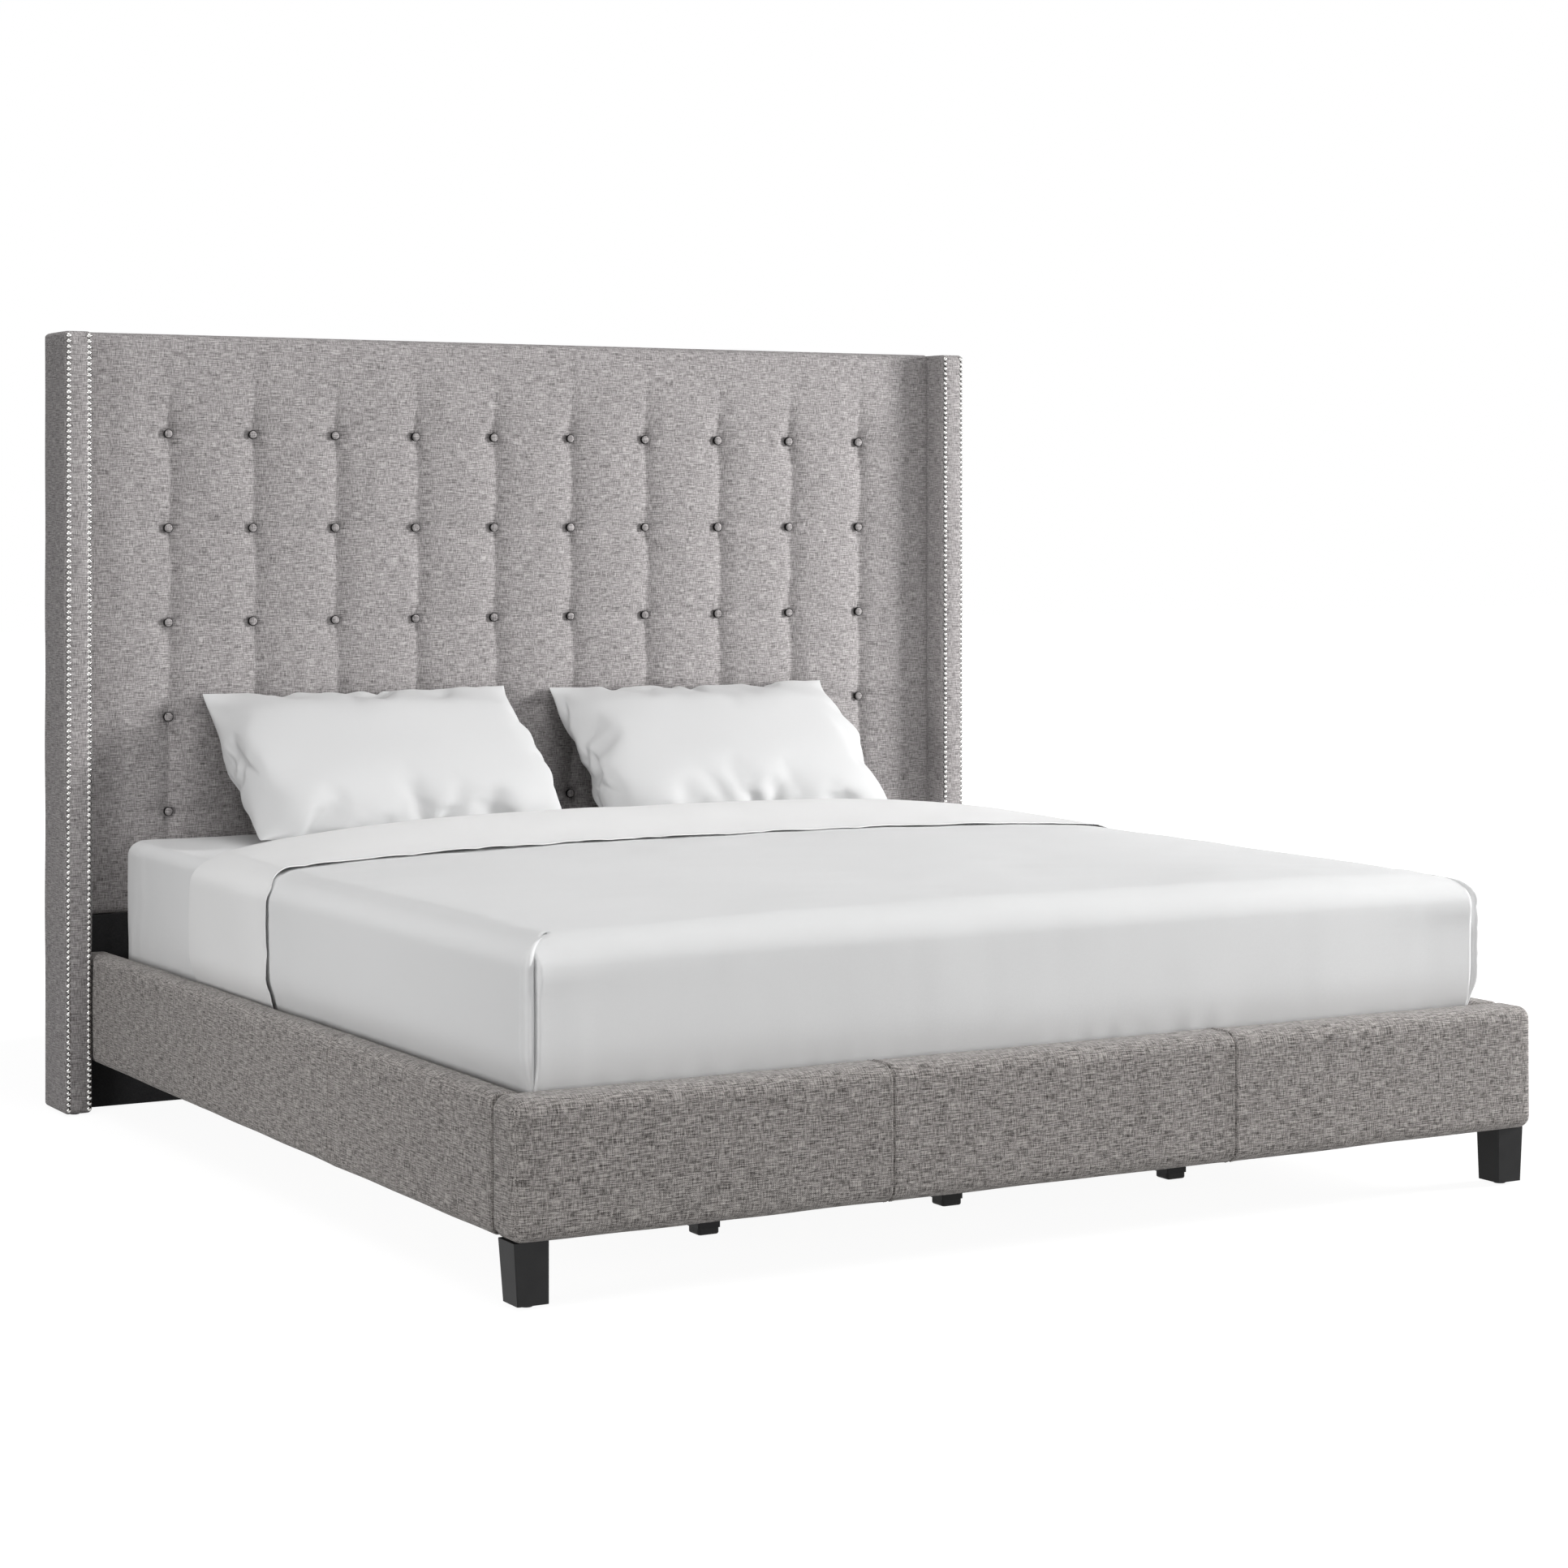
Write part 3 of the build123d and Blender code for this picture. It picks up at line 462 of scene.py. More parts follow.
def piece(name, parts, slot, body="root", stands_for=(), closed=True, fills=(), sharp=50, paint=None):
    """One object of the bed: its parts joined, the edges that meet welded, its faces turned outwards."""
    counts = np.cumsum([0] + [len(points) for points, _ in parts])
    faces = [face for start, (_, quads) in zip(counts, parts) for face in (quads + start).tolist()]
    mesh = new_mesh(name, np.concatenate([points for points, _ in parts]), faces + list(fills))
    shape = bmesh.new()
    shape.from_mesh(mesh)
    bmesh.ops.remove_doubles(shape, verts=shape.verts, dist=2e-5)
    if closed:
        bmesh.ops.recalc_face_normals(shape, faces=shape.faces)
    shape.to_mesh(mesh)
    shape.free()
    mesh.polygons.foreach_set("use_smooth", np.ones(len(mesh.polygons), bool))
    mesh.set_sharp_from_angle(angle=radians(sharp))
    map_cloth(mesh)
    mesh.materials.append(FINISHES[paint or slot])
    made = show(name, mesh)
    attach(made, body)
    if stands_for:
        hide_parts(*stands_for)
    return made


def thicken(made, thickness):
    """Give a sheet its thickness on the inner side."""
    solid = made.modifiers.new("thickness", "SOLIDIFY")
    solid.thickness, solid.offset, solid.use_rim = thickness, -1, True


def stations(at, xs, ys, turns):
    """Stations along a list of corners, as places and facings. A whole number in at is a corner, and the
    turns are the facings at the corners in degrees."""
    x, y, turn = (np.interp(at, np.arange(len(xs)), values) for values in (xs, ys, np.radians(turns)))
    return rows_of(x, y), rows_of(np.cos(turn), np.sin(turn))


def loop_of(half_a, half_b, radius, spacing, arc=6):
    """Stations round a rounded rectangle, as where its core rectangle's edge is and which way it faces."""
    a, b = half_a - radius, half_b - radius
    runs = (b, 0, 2 * a, 0, 2 * b, 0, 2 * a, 0, b)
    at = [np.linspace(i, i + 1, arc if run == 0 else max(2, ceil(run / spacing)), endpoint=False)
          for i, run in enumerate(runs)]
    return stations(np.concatenate(at + [[9]]), (a, a, a, -a, -a, -a, -a, a, a, a),
                    (0, b, b, b, b, -b, -b, -b, -b, 0), (0, 0, 90, 90, 180, 180, 270, 270, 360, 360))


def raised(facing, tilt):
    """Directions that face level at tilt 0 and straight up at a quarter turn."""
    level, up = np.cos(tilt), np.sin(tilt)
    return rows_of(facing[:, 0] * level, facing[:, 1] * level, up)


def bar(low, high, run, radius, end_radius, stops, spacing, arc=6):
    """A padded bar: a rounded rectangle carried along one axis. At each end the rectangle is drawn in by
    r (1 - cos t) while it moves on by r sin t, then shrinks to a line, so that the end is closed.
    Returns its points and which way each one faces."""
    cross = [axis for axis in range(3) if axis != run]
    half = (high - low) / 2
    core, facing = loop_of(*half[cross], radius, spacing, arc)
    quarter = np.linspace(pi / 2, 0, arc + 1)
    flat = np.linspace(min(half[cross]), end_radius, 6)[:-1]
    start = np.concatenate((0 * flat, end_radius * (1 - np.sin(quarter)))) - half[run]
    inset = np.concatenate((flat, end_radius * (1 - np.cos(quarter))))
    tilt = np.concatenate((0 * flat + pi / 2, quarter))
    place = np.concatenate((start, stops, -start[::-1]))[:, None]
    inset = np.concatenate((inset, 0 * stops, inset[::-1]))[:, None]
    tilt = np.concatenate((-tilt, 0 * stops, tilt[::-1]))[:, None]
    parts = []
    for side, reach in enumerate(half[cross]):
        spare = np.maximum(reach - np.maximum(inset, radius), 0)
        bend = np.maximum(radius - inset, 0)
        parts.append(np.clip(core[:, side], -spare, spare) + bend * facing[:, side])
    order = np.argsort((*cross, run))
    points = rows_of(*parts, place)
    return points[..., order] + (low + high) / 2, raised(facing, tilt)[..., order]


def plump(points, ways, low, high, amount):
    """Padding that stands out most in the middle of each face: the amount times (1 - p^4)(1 - q^4),
    where p and q go from -1 to 1 across the face."""
    share = (2 * points - (low + high)) / (high - low)
    p, q, r = np.moveaxis(1 - np.clip(share, -1, 1) ** 4, -1, 0)
    flat = np.clip((np.abs(ways) - 0.9) * 10, 0, 1)
    across = rows_of(q * r, p * r, p * q)
    return points + ways * (amount * (flat * across).sum(-1))[..., None]


def groove(distance, width, depth):
    """A seam: a narrow groove, with the padding slightly raised on both sides of it."""
    near = np.abs(distance)
    return (depth * (0.35 * np.exp(-near / (width * 6)) - 1.35 * bell(near / width)))[..., None]


def stitch_form(size, radius):
    """A single stitch: a thin spindle along y."""
    bulge = np.array((0.25, 0.85, 1.0, 0.85, 0.25))[:, None]
    turn = np.linspace(0, 2 * pi, 6)[None]
    along = np.linspace(-size / 2, size / 2, 5)[:, None]
    return net(rows_of(radius * bulge * np.cos(turn), along, radius * bulge * np.sin(turn)))


def stitches_round(loop, ways, pitch, form):
    """Stitches at an even pitch along a closed loop of points, each standing out the way that it faces."""
    run = np.concatenate(([0], np.cumsum(np.linalg.norm(np.diff(loop, axis=0), axis=1))))
    at = np.arange(pitch / 2, run[-1], pitch)

    def along_loop(at, values):
        return np.stack([np.interp(at, run, values[:, axis]) for axis in range(3)], -1)

    places = along_loop(at, loop)
    along = unit(along_loop(at + 1e-4, loop) - places)
    out = unit(along_loop(at, ways))
    return repeat(form, places, np.cross(along, out), along, out)


# The headboard

def tuft_grid(sizes):
    """Places of the button columns and rows."""
    pitch = (PAD_HIGH[0] - PAD_LOW[0]) / (sizes.tuft_columns + 1)
    columns = (np.arange(sizes.tuft_columns) - (sizes.tuft_columns - 1) / 2) * pitch
    return columns, PAD_HIGH[2] - sizes.tuft_top_drop - np.arange(sizes.tuft_rows) * sizes.tuft_row_pitch


def tuft_depth(x, z, sizes):
    """How far the pad is drawn in. Upright creases fall off as the sum of a narrow and a wide
    exp(-distance / width), level ones as a single one. Each button adds a dimple and short pleats that
    spread from it, and the deepest of crease and dimple wins smoothly."""
    columns, rows = tuft_grid(sizes)
    pitch, drop = columns[1] - columns[0], sizes.tuft_row_pitch
    column = np.clip(np.rint((x - columns[0]) / pitch), 0, len(columns) - 1).astype(int)
    share = (rows[0] - z) / drop
    row = np.clip(np.rint(share), 0, len(rows) - 1).astype(int)
    gap = np.clip(np.ceil(share), 0, len(rows)).astype(int)
    rng = np.random.default_rng(11)
    bows = rng.uniform(0.6, 1.5, (len(columns), len(rows) + 1)) * sizes.crease_bow
    turns = rng.uniform(0, 2 * pi, (len(columns), len(rows)))[column, row]
    bow = bows[column, gap] * np.sin(pi * (share - np.floor(share))) ** 0.6
    dx, dz = x - columns[column], z - rows[row]
    inside = (share > 0) & (share < len(rows) - 1)
    past = np.maximum(np.maximum(z - rows[0], rows[-1] - z), 0)
    lean = np.where(inside, bow, 0.25 * bow * np.exp(-past / 0.05))

    def rounded(distance, radius):
        return np.sqrt(distance**2 + radius**2) - radius

    near, narrow, wide, level_width = rounded(dx - lean, 0.0014), 0.022, 0.060, 0.024
    middle = np.where(inside, 0.84 + 0.16 * np.abs(np.cos(pi * share)), np.exp(-((past / 0.085) ** 1.5)))
    upright = sizes.crease_depth * middle * (0.55 * np.exp(-near / narrow) + 0.45 * np.exp(-near / wide))
    level = sizes.row_crease_depth * np.exp(-rounded(dz, 0.004) / level_width)
    at_side = smooth((columns[-1] + 0.12 - np.abs(x)) / 0.08)
    level = level * (0.7 + 0.3 * np.exp(-np.abs(dx) / 0.03)) * at_side
    radius, angle = np.hypot(dx, dz), np.arctan2(dz, dx)
    dimple = sizes.dimple_depth * fade(radius - 0.007, 0.017)
    pleats = 0.0011 * np.cos(9 * angle + turns) + 0.0007 * np.cos(5 * angle - turns)
    pleats *= bell((radius - 0.02) / 0.014)
    depth = (upright**3 + level**3 + dimple**3) ** (1 / 3) + pleats
    depth = depth + 0.007 * np.exp(-(PAD_HIGH[0] - np.abs(x)) / 0.012)
    uneven = 0.0009 * ripples(3, 0.16, x, z) + 0.00035 * ripples(4, 0.05, x, z)
    deepest = sizes.dimple_depth + 0.002
    return depth / (1 + (np.abs(depth) / deepest) ** 6) ** (1 / 6) + uneven


def gathered(stops, spacing, pull):
    """Places from stop to stop, closer together near each stop: t - pull sin(2 pi t) / (2 pi)."""
    places = []
    for low, high in zip(stops, stops[1:]):
        t = np.linspace(0, 1, max(4, round((high - low) / spacing)) + 1)[:-1]
        places.append(low + (high - low) * (t - pull * np.sin(2 * pi * t) / (2 * pi)))
    return np.concatenate(places)


def make_tufted_pad(sizes):
    """The pad is an open sheet, wrapped round the front of the board and over its top, closed behind by
    two flat faces. Its rows follow the path bottom, front, top roll, top. Each point is drawn in along the
    way that the path faces there by the depth of the tufting."""
    columns, rows = tuft_grid(sizes)
    edge, front, bottom, top, back_y = PAD_HIGH[0], PAD_LOW[1], PAD_LOW[2], PAD_HIGH[2], PAD_HIGH[1]
    board_low, board_high = limits("headboard_face_board")
    board_y, board_top = board_low[1], board_high[2]
    roll, foot = 0.024, 0.016
    cells = np.concatenate(([-edge], columns, [edge]))
    x = np.concatenate((gathered(cells, (cells[1] - cells[0]) / 34, 0.5), [edge]))
    z = gathered([bottom + foot, *rows[::-1], top - roll], 0.0059, 0.45)
    low_turn = np.linspace(pi / 2, 0, 6)[:-1]
    high_turn = np.linspace(0, pi / 2, 9)
    over = np.linspace(front + roll, back_y, 6)[1:]
    path = np.concatenate((
        [(board_y, bottom)],
        rows_of(front + foot * (1 - np.cos(low_turn)), bottom + foot * (1 - np.sin(low_turn))),
        rows_of(front, z),
        rows_of(front + roll * (1 - np.cos(high_turn)), top - roll * (1 - np.sin(high_turn))),
        rows_of(over, top),
        [(back_y, board_top)],
    ))
    tilt = np.concatenate(([pi / 2], low_turn, 0 * z, -high_turn, 0 * over - pi / 2, [-pi / 2]))
    share = np.cos(tilt) ** 2
    share[0] = share[-1] = 0
    depth = tuft_depth(x[None], np.clip(path[:, 1], bottom, top)[:, None], sizes) * share[:, None]
    grid = rows_of(x[None], path[:, :1] + np.cos(tilt)[:, None] * depth,
                   path[:, 1:] + np.sin(tilt)[:, None] * depth)
    back = rows_of(np.maximum(path[:, 0], board_y), np.minimum(path[:, 1], board_top))
    back[: len(low_turn) + 1] = (board_y, bottom)
    back[len(low_turn) + 1: -len(over) - 1, 0] = board_y
    side = np.concatenate((0 * path[:, :1], back), -1)[:, None]
    left, right = side - (edge, 0, 0), side + (edge, 0, 0)
    grid = np.concatenate((left, (left + grid[:, :1]) / 2, grid, (right + grid[:, -1:]) / 2, right), 1)
    index = np.arange(grid.shape[0] * grid.shape[1]).reshape(grid.shape[:2])
    bend = len(path) - len(over) - 2
    board = np.concatenate((index[0], index[1: bend + 1, -1], index[1: bend + 1, 0][::-1]))
    cap = np.concatenate((index[bend:, -1], index[-1, ::-1][1:], index[bend:-1, 0][::-1]))
    pad = piece("headboard_tufting", [net(grid)], "headboard_linen", stands_for=["tufted_pad"],
                fills=[board.tolist(), cap.tolist()])


def make_buttons(sizes):
    """Covered buttons: a domed face of the headboard's linen in a nearly black rim, which is painted shade of
    the pinched fold round each button, shaped as a dark metal rim.
    """
    columns, rows = tuft_grid(sizes)
    floor = limits("tuft_buttons")[0][1] + 0.003
    places = np.stack(np.meshgrid(columns, [floor], rows, indexing="ij"), -1).reshape(-1, 3)
    count = len(places)
    rng = np.random.default_rng(5)
    across = np.tile((1.0, 0, 0), (count, 1)) + rng.normal(0, 0.03, (count, 3))
    out = unit(np.tile((0, -1.0, 0), (count, 1)) + rng.normal(0, 0.04, (count, 3)))
    along = np.cross(out, across)
    across = np.cross(along, out)
    dome = ((0, 0.0072), (0.36, 0.0069), (0.64, 0.0060), (0.81, 0.0047), (0.86, 0.0034), (0.86, 0))
    rim = ((0.78, -0.004), (0.86, 0.0036), (0.92, 0.0044), (0.985, 0.0034), (1, 0.001), (0.92, -0.004),
           (0.78, -0.004))

    def copies(profile):
        form = lathe([(sizes.button_diameter / 2 * share, height) for share, height in profile], 18)
        return [repeat(form, places, across, along, out)]

    piece("covered_buttons", copies(dome), "headboard_linen", stands_for=["tuft_buttons"])
    # The rims carry painted shade: the dark ring that the pinched fold throws round each button
    piece("button_rims", copies(rim), "headboard_linen", paint="button_rim")


def make_wings():
    """Wing covers: an upright padded bar each. The front edge swells between the two rows of nails, and
    each row draws it in."""
    radius, swelling = 0.009, 0.0022
    for hand in ("left", "right"):
        low, high = limits(f"wing_{hand}_cover")
        stops = steps(low[2], high[2], 0.02) - (low[2] + high[2]) / 2
        points, ways = bar(low, high, 2, radius, radius, stops[1:-1], spacing=0.0028)
        points = plump(points, ways, low, high, amount=0.0012)
        x, y, z = np.moveaxis(points, -1, 0)
        rows = [sum(limits(f"nail_strip_{hand}_{row}"))[0] / 2 for row in ("inner", "outer")]
        front = smooth((-ways[..., 1] - 0.75) * 5)
        from_middle = np.abs(x - sum(rows) / 2) / (abs(rows[0] - rows[1]) / 2)
        swell = swelling * (1 - np.clip(from_middle, 0, 1) ** 2) * smooth((high[2] - z) / 0.02)
        sides = 0.0008 * ripples(21, 0.35, y, z) * (np.abs(ways[..., 0]) > 0.8)
        points = points + ways * (front * swell + sides)[..., None]
        cover = piece(f"wing_{hand}_upholstery", [net(points)], "headboard_linen",
                      stands_for=[f"wing_{hand}_cover"])


def make_back_cloth():
    """Black cloth over the back of the headboard: slack by a millimetre between its folded, stapled
    edges."""
    low, high = limits("headboard_back_cloth")
    x, z = np.meshgrid(steps(low[0], high[0], 0.02), steps(low[2], high[2], 0.02), indexing="ij")
    from_edge = np.minimum(high[0] - np.abs(x), np.minimum(z - low[2], high[2] - z))
    slack = smooth(from_edge / 0.12)
    fold, fold_width = 0.0008, 0.019
    y = high[1] - 0.0004 - 0.0006 * slack * (1 + ripples(31, 0.4, x, z)) + fold * (from_edge < fold_width)
    y = np.maximum(y, low[1] + 0.0007)
    cloth = piece("back_cloth", [net(rows_of(x, y, z)[::-1])], "black_cloth",
                  stands_for=["headboard_back_cloth"], closed=False)
    thicken(cloth, thickness=0.0005)
    inset, margin, pitch = 0.009, 0.03, 0.05
    level, upright = (np.arange(low[axis] + margin, high[axis] - margin, pitch) for axis in (0, 2))
    spots = np.concatenate(
        [rows_of(level, place) for place in (high[2] - inset, low[2] + inset)]
        + [rows_of(place, upright) for place in (low[0] + inset, high[0] - inset)])
    places = rows_of(spots[:, 0], high[1] + 0.0006, spots[:, 1])
    turn = np.random.default_rng(8).normal(0.7, 0.15, len(places))
    along = rows_of(np.cos(turn), 0, np.sin(turn))
    out = np.tile((0, 1.0, 0), (len(places), 1))
    piece("back_staples", [repeat(stitch_form(0.011, 0.0006), places, np.cross(along, out), along, out)],
          "zinc_steel")


# The rails and the footboard

def seamed_stops(reach, seams, end_radius, wide, fine):
    """Stations along a bar: wide apart, and close together at its seams."""
    places = [steps(-reach + end_radius, reach - end_radius, wide)[1:-1]]
    places += [seam + np.arange(-0.012, 0.0121, fine) for seam in seams]
    return np.unique(np.round(np.concatenate(places), 5))


def make_rails(sizes):
    """Rail covers: a padded bar each, with two seams at the thirds of its length."""
    radius, end = 0.017, 0.005
    for hand in ("left", "right"):
        low, high = limits(f"rail_{hand}_cover")
        reach, middle = (high[1] - low[1]) / 2, (low[1] + high[1]) / 2
        seams = (-reach / 3, reach / 3)
        stops = seamed_stops(reach, seams, end, wide=0.022, fine=0.0015)
        points, ways = bar(low, high, 1, radius, end, stops, spacing=0.012, arc=7)
        for seam in seams:
            distance = points[..., 1] - middle - seam
            points = points + ways * groove(distance, width=0.0019, depth=sizes.seam_depth * 0.85)
        x, y, z = np.moveaxis(points, -1, 0)
        uneven = 0.0007 * ripples(41, 0.22, y, z, x)
        points = plump(points, ways, low, high, amount=0.0014) + ways * uneven[..., None]
        cover = piece(f"rail_{hand}_upholstery", [net(points)], "frame_linen",
                      stands_for=[f"rail_{hand}_cover"])


def make_footboard(sizes):
    """Footboard cover: a padded bar with two stitched seams across it and a seam round each end panel."""
    low, high = limits("footboard_cover")
    reach, radius, end = (high[0] - low[0]) / 2, 0.024, 0.022
    seams = (-sizes.seam_place, sizes.seam_place)
    stops = seamed_stops(reach, seams, end, wide=0.02, fine=0.0012)
    points, ways = bar(low, high, 0, radius, end, stops, spacing=0.009, arc=14)
    stations_x = points[:, 0, 0]
    for seam in seams:
        points = points + ways * groove(points[..., 0] - seam, width=0.0018, depth=sizes.seam_depth)
    from_panel = reach - 0.0055 - np.abs(points[..., 0])
    points = points + ways * groove(from_panel, width=0.0016, depth=sizes.seam_depth * 0.8)
    x, y, z = np.moveaxis(points, -1, 0)
    uneven = 0.0008 * ripples(51, 0.25, x, z, y)
    points = plump(points, ways, low, high, amount=0.0016) + ways * uneven[..., None]
    cover = piece("footboard_upholstery", [net(points)], "frame_linen", stands_for=["footboard_cover"])
    form = stitch_form(sizes.stitch_length, radius=0.00075)
    rows, from_seam, above = [], 0.0062, 0.0002
    for seam in seams:
        for side in (-from_seam, from_seam):
            station = int(np.abs(stations_x - seam - side).argmin())
            way = ways[station]
            rows.append(stitches_round(points[station] + way * above, way, sizes.stitch_pitch, form))
    piece("footboard_topstitch", rows, "frame_linen")


# The mattress and the bedding

def make_mattress():
    """Mattress: a padded block whose sides are drawn in between two taped edges, quilted above and
    below."""
    low, high = limits("mattress")
    reach = 0.118
    points, ways = bar(low, high, 2, radius=0.06, end_radius=0.025, stops=steps(-reach, reach, 0.02),
                       spacing=0.03, arc=8)
    x, y, z = np.moveaxis(points, -1, 0)
    tape = 0.0016 * bell((np.abs(z - (low[2] + high[2]) / 2) - reach - 0.004) / 0.0035)
    quilting = -0.0016 * np.abs(np.sin(x * pi / 0.12) * np.sin(y * pi / 0.12)) ** 0.3
    shift = np.where(np.abs(ways[..., 2]) > 0.9, quilting, tape - 0.002)
    mattress = piece("mattress_ticking", [net(points + ways * shift[..., None])], "mattress_ticking",
                     body="mattress_and_bedding", stands_for=["mattress"])


def bed_rise(x, y):
    """How far the bed clothes rise above their edge: a crown (1 - |x / half|^3.2), low at the foot and
    plump towards the pillows."""
    crown = 0.013 + 0.012 * smooth((y + 0.98) / 1.1) + 0.036 * smooth((y - 0.12) / 0.38)
    return crown * (1 - np.clip(np.abs(x) / COVER_HIGH[0], 0, 1) ** 3.2)


def side_swell(z, top):
    """0 to 1: how far a side of the bed clothes has swelled out at a height below its top."""
    return smooth((z - 0.31) / 0.08) * smooth((top - z) / 0.055)


def faces_there(part):
    """0 to 1: how far a surface faces an axis, from the part of its direction along it."""
    return smooth((part - 0.35) * 2.5)


def rolled_path(hem_z, edge_z, drop, inner, spacing):
    """Path of the bed clothes, as distance inwards, height and tilt: straight up from the hem, over a quarter
    of an ellipse and in to the middle by the inner distances."""
    upright = steps(hem_z, edge_z - drop, spacing)
    quarter = np.linspace(0, pi / 2, 16)[1:]
    inset = np.concatenate((0 * upright, inner[0] * (1 - np.cos(quarter)), inner[1:]))
    height = np.concatenate((upright, edge_z - drop * (1 - np.sin(quarter)), 0 * inner[1:] + edge_z))
    return inset, height, np.concatenate((0 * upright, quarter, 0 * inner[1:] + pi / 2))


def dressed_top(outline, radius, drop, edge_z, hem_z, half_width, foot_y, tuck, inner):
    """Cloth over the mattress from an outline (core, facing) of its sides, drawn in by the tuck at the hem.
    Returns its points and the way that each faces."""
    core, facing = outline
    inset, height, tilt = (part[:, None] for part in rolled_path(hem_z, edge_z, drop, inner, 0.013))
    inset = inset + tuck * (1 - smooth((height - hem_z) / 0.11)) * (tilt == 0)
    spare = half_width - np.maximum(inset, radius)
    bend = np.maximum(radius - inset, 0)
    x = np.clip(core[:, 0], -spare, spare) + bend * facing[:, 0]
    y = np.maximum(core[:, 1], foot_y + np.maximum(inset, radius)) + bend * facing[:, 1]
    return rows_of(x, y, height), raised(facing, tilt)


def open_outline(half_width, foot_y, head_y, radius, spacing):
    """Outline of three sides, from the head end of the left side round the foot to the right side, with
    more stations beside the corners."""
    a, f = half_width - radius, foot_y + radius
    runs = (head_y - f, 0, 2 * a, 0, head_y - f)
    near = np.linspace(0, 0.024, 14)[1:]
    at = [np.linspace(i, i + 1, 40 if run == 0 else ceil(run / spacing), endpoint=False)
          for i, run in enumerate(runs)]
    at += [[5], 1 - near / runs[0], 2 + near / runs[2], 3 - near / runs[2], 4 + near / runs[4]]
    return stations(np.unique(np.round(np.concatenate(at), 6)), (-a, -a, -a, a, a, a),
                    (head_y, f, f, f, f, head_y), (180, 180, 270, 270, 360, 360))


def closed_outline(half_width, foot_y, head_y, radius, spacing):
    """Outline of all four sides."""
    core, facing = loop_of(half_width, (head_y - foot_y) / 2, radius, spacing, 14)
    return core + (0, (head_y + foot_y) / 2), facing


def make_fitted_sheet(sizes):
    """Fitted sheet: the mattress form, drawn in by soft upright folds at its corners."""
    half, foot_y, head_y = SHEET_HIGH[0], SHEET_LOW[1], SHEET_HIGH[1]
    corner, drop = 0.063, 0.0283
    outline = closed_outline(half, foot_y, head_y, corner, 0.014)
    points, ways = dressed_top(outline, corner, drop, SHEET_HIGH[2], SHEET_LOW[2], half, foot_y,
                               tuck=0.0012, inner=steps(drop, half, 0.03))
    x, y, z = np.moveaxis(points, -1, 0)
    side = np.sqrt(np.clip(1 - ways[..., 2] ** 2, 0, 1))
    from_end = np.minimum(head_y - y, y - foot_y)
    at_corner = bell(np.maximum(half - np.abs(x), 0) / 0.12) * bell(from_end / 0.20)
    run = y - 0.8 * np.abs(x)
    folds = -0.0018 * (0.5 + 0.5 * np.sin(run / 0.0085 + 1.6 * ripples(62, 0.2, x, y, z))) ** 1.5
    soft = -0.0016 * (0.5 + 0.5 * ripples(61, 0.13, x, y, z * 0.4))
    hidden = -0.003 * smooth((0.44 - y) / 0.05)
    points = points + ways * (folds * at_corner * side + soft + hidden)[..., None]
    sheet = piece("fitted_sheet_cloth", [net(points)], "white_cotton", body="mattress_and_bedding",
                  stands_for=["fitted_sheet"], closed=False, paint="sheet_cotton")
    thicken(sheet, sizes.sheet_thickness)


def make_bed_cover(sizes):
    """Bed cover: three sides and a crowned top. A folded pleat closes each foot corner: the cloth of the
    foot stands in front of the side's by the pleat's height, most at the top, and falls away from it."""
    half, foot_y, head_y, edge_z = COVER_HIGH[0], COVER_LOW[1], COVER_HIGH[1], MATTRESS_TOP + 0.0096
    corner, drop, shoulder = 0.012, 0.046, 0.062
    outline = open_outline(half, foot_y, head_y, corner, 0.011)
    points, ways = dressed_top(outline, corner, drop, edge_z, COVER_LOW[2], half, foot_y,
                               tuck=0.007, inner=steps(shoulder, half, 0.022))
    x, y, z = np.moveaxis(points, -1, 0)
    side = np.sqrt(np.clip(1 - ways[..., 2] ** 2, 0, 1))
    on_foot, on_side = faces_there(-ways[..., 1]), faces_there(np.abs(ways[..., 0]))
    below = smooth((edge_z - 0.018 - z) / 0.03)
    turned = np.arctan2(-ways[..., 1], np.abs(ways[..., 0]))
    run = (turned - 1.4) * corner + np.maximum(half - corner - np.abs(x), 0)
    run = run - np.maximum(y - foot_y - corner, 0)
    ear = bell((z - edge_z + 0.060) / 0.020)
    lip = smooth(run / 0.002) * fade(run, 0.12) * smooth((z - 0.318) / 0.03)
    slit = np.exp(-(((run + 0.0026) / (0.0024 + 0.0022 * ear)) ** 4))
    shift = below * (sizes.pleat_height * (1 + 0.8 * ear) * lip - 0.014 * slit)
    pull = np.sin(z / 0.0065 + 9 * ripples(76, 0.2, y, z)) * fade(y - foot_y - 0.02, 0.035)
    shift = shift + 0.0006 * pull * on_side * below
    shift = shift + side_swell(z, edge_z + 0.01) * (SIDE_SWELL * on_side + 0.004 * on_foot)
    sides = 0.0011 * ripples(72, 0.35, x, y, z) + 0.0003 * ripples(71, 0.08, x, y, z * 0.3) - 0.0008
    hem = 0.0007 * ripples(73, 0.06, x, y) * (1 - smooth((z - 0.33) / 0.05))
    top = 0.0018 * ripples(74, 0.6, x, y) + 0.0007 * ripples(75, 0.22, x, y * 1.8)
    rows = 0.0016 * ripples(77, 0.11, y + 0.12 * np.abs(x), x * 0.12) * bell((y - foot_y - 0.16) / 0.13)
    shift = shift + side * (sides + hem) + (1 - side) * (top + rows)
    points = points + ways * shift[..., None]
    points[..., 2] += (1 - side**2) * bed_rise(x, y)
    cover = piece("bed_cover_cloth", [net(points)], "white_cotton", body="mattress_and_bedding",
                  stands_for=["bed_cover"], closed=False)
    thicken(cover, sizes.cover_thickness)


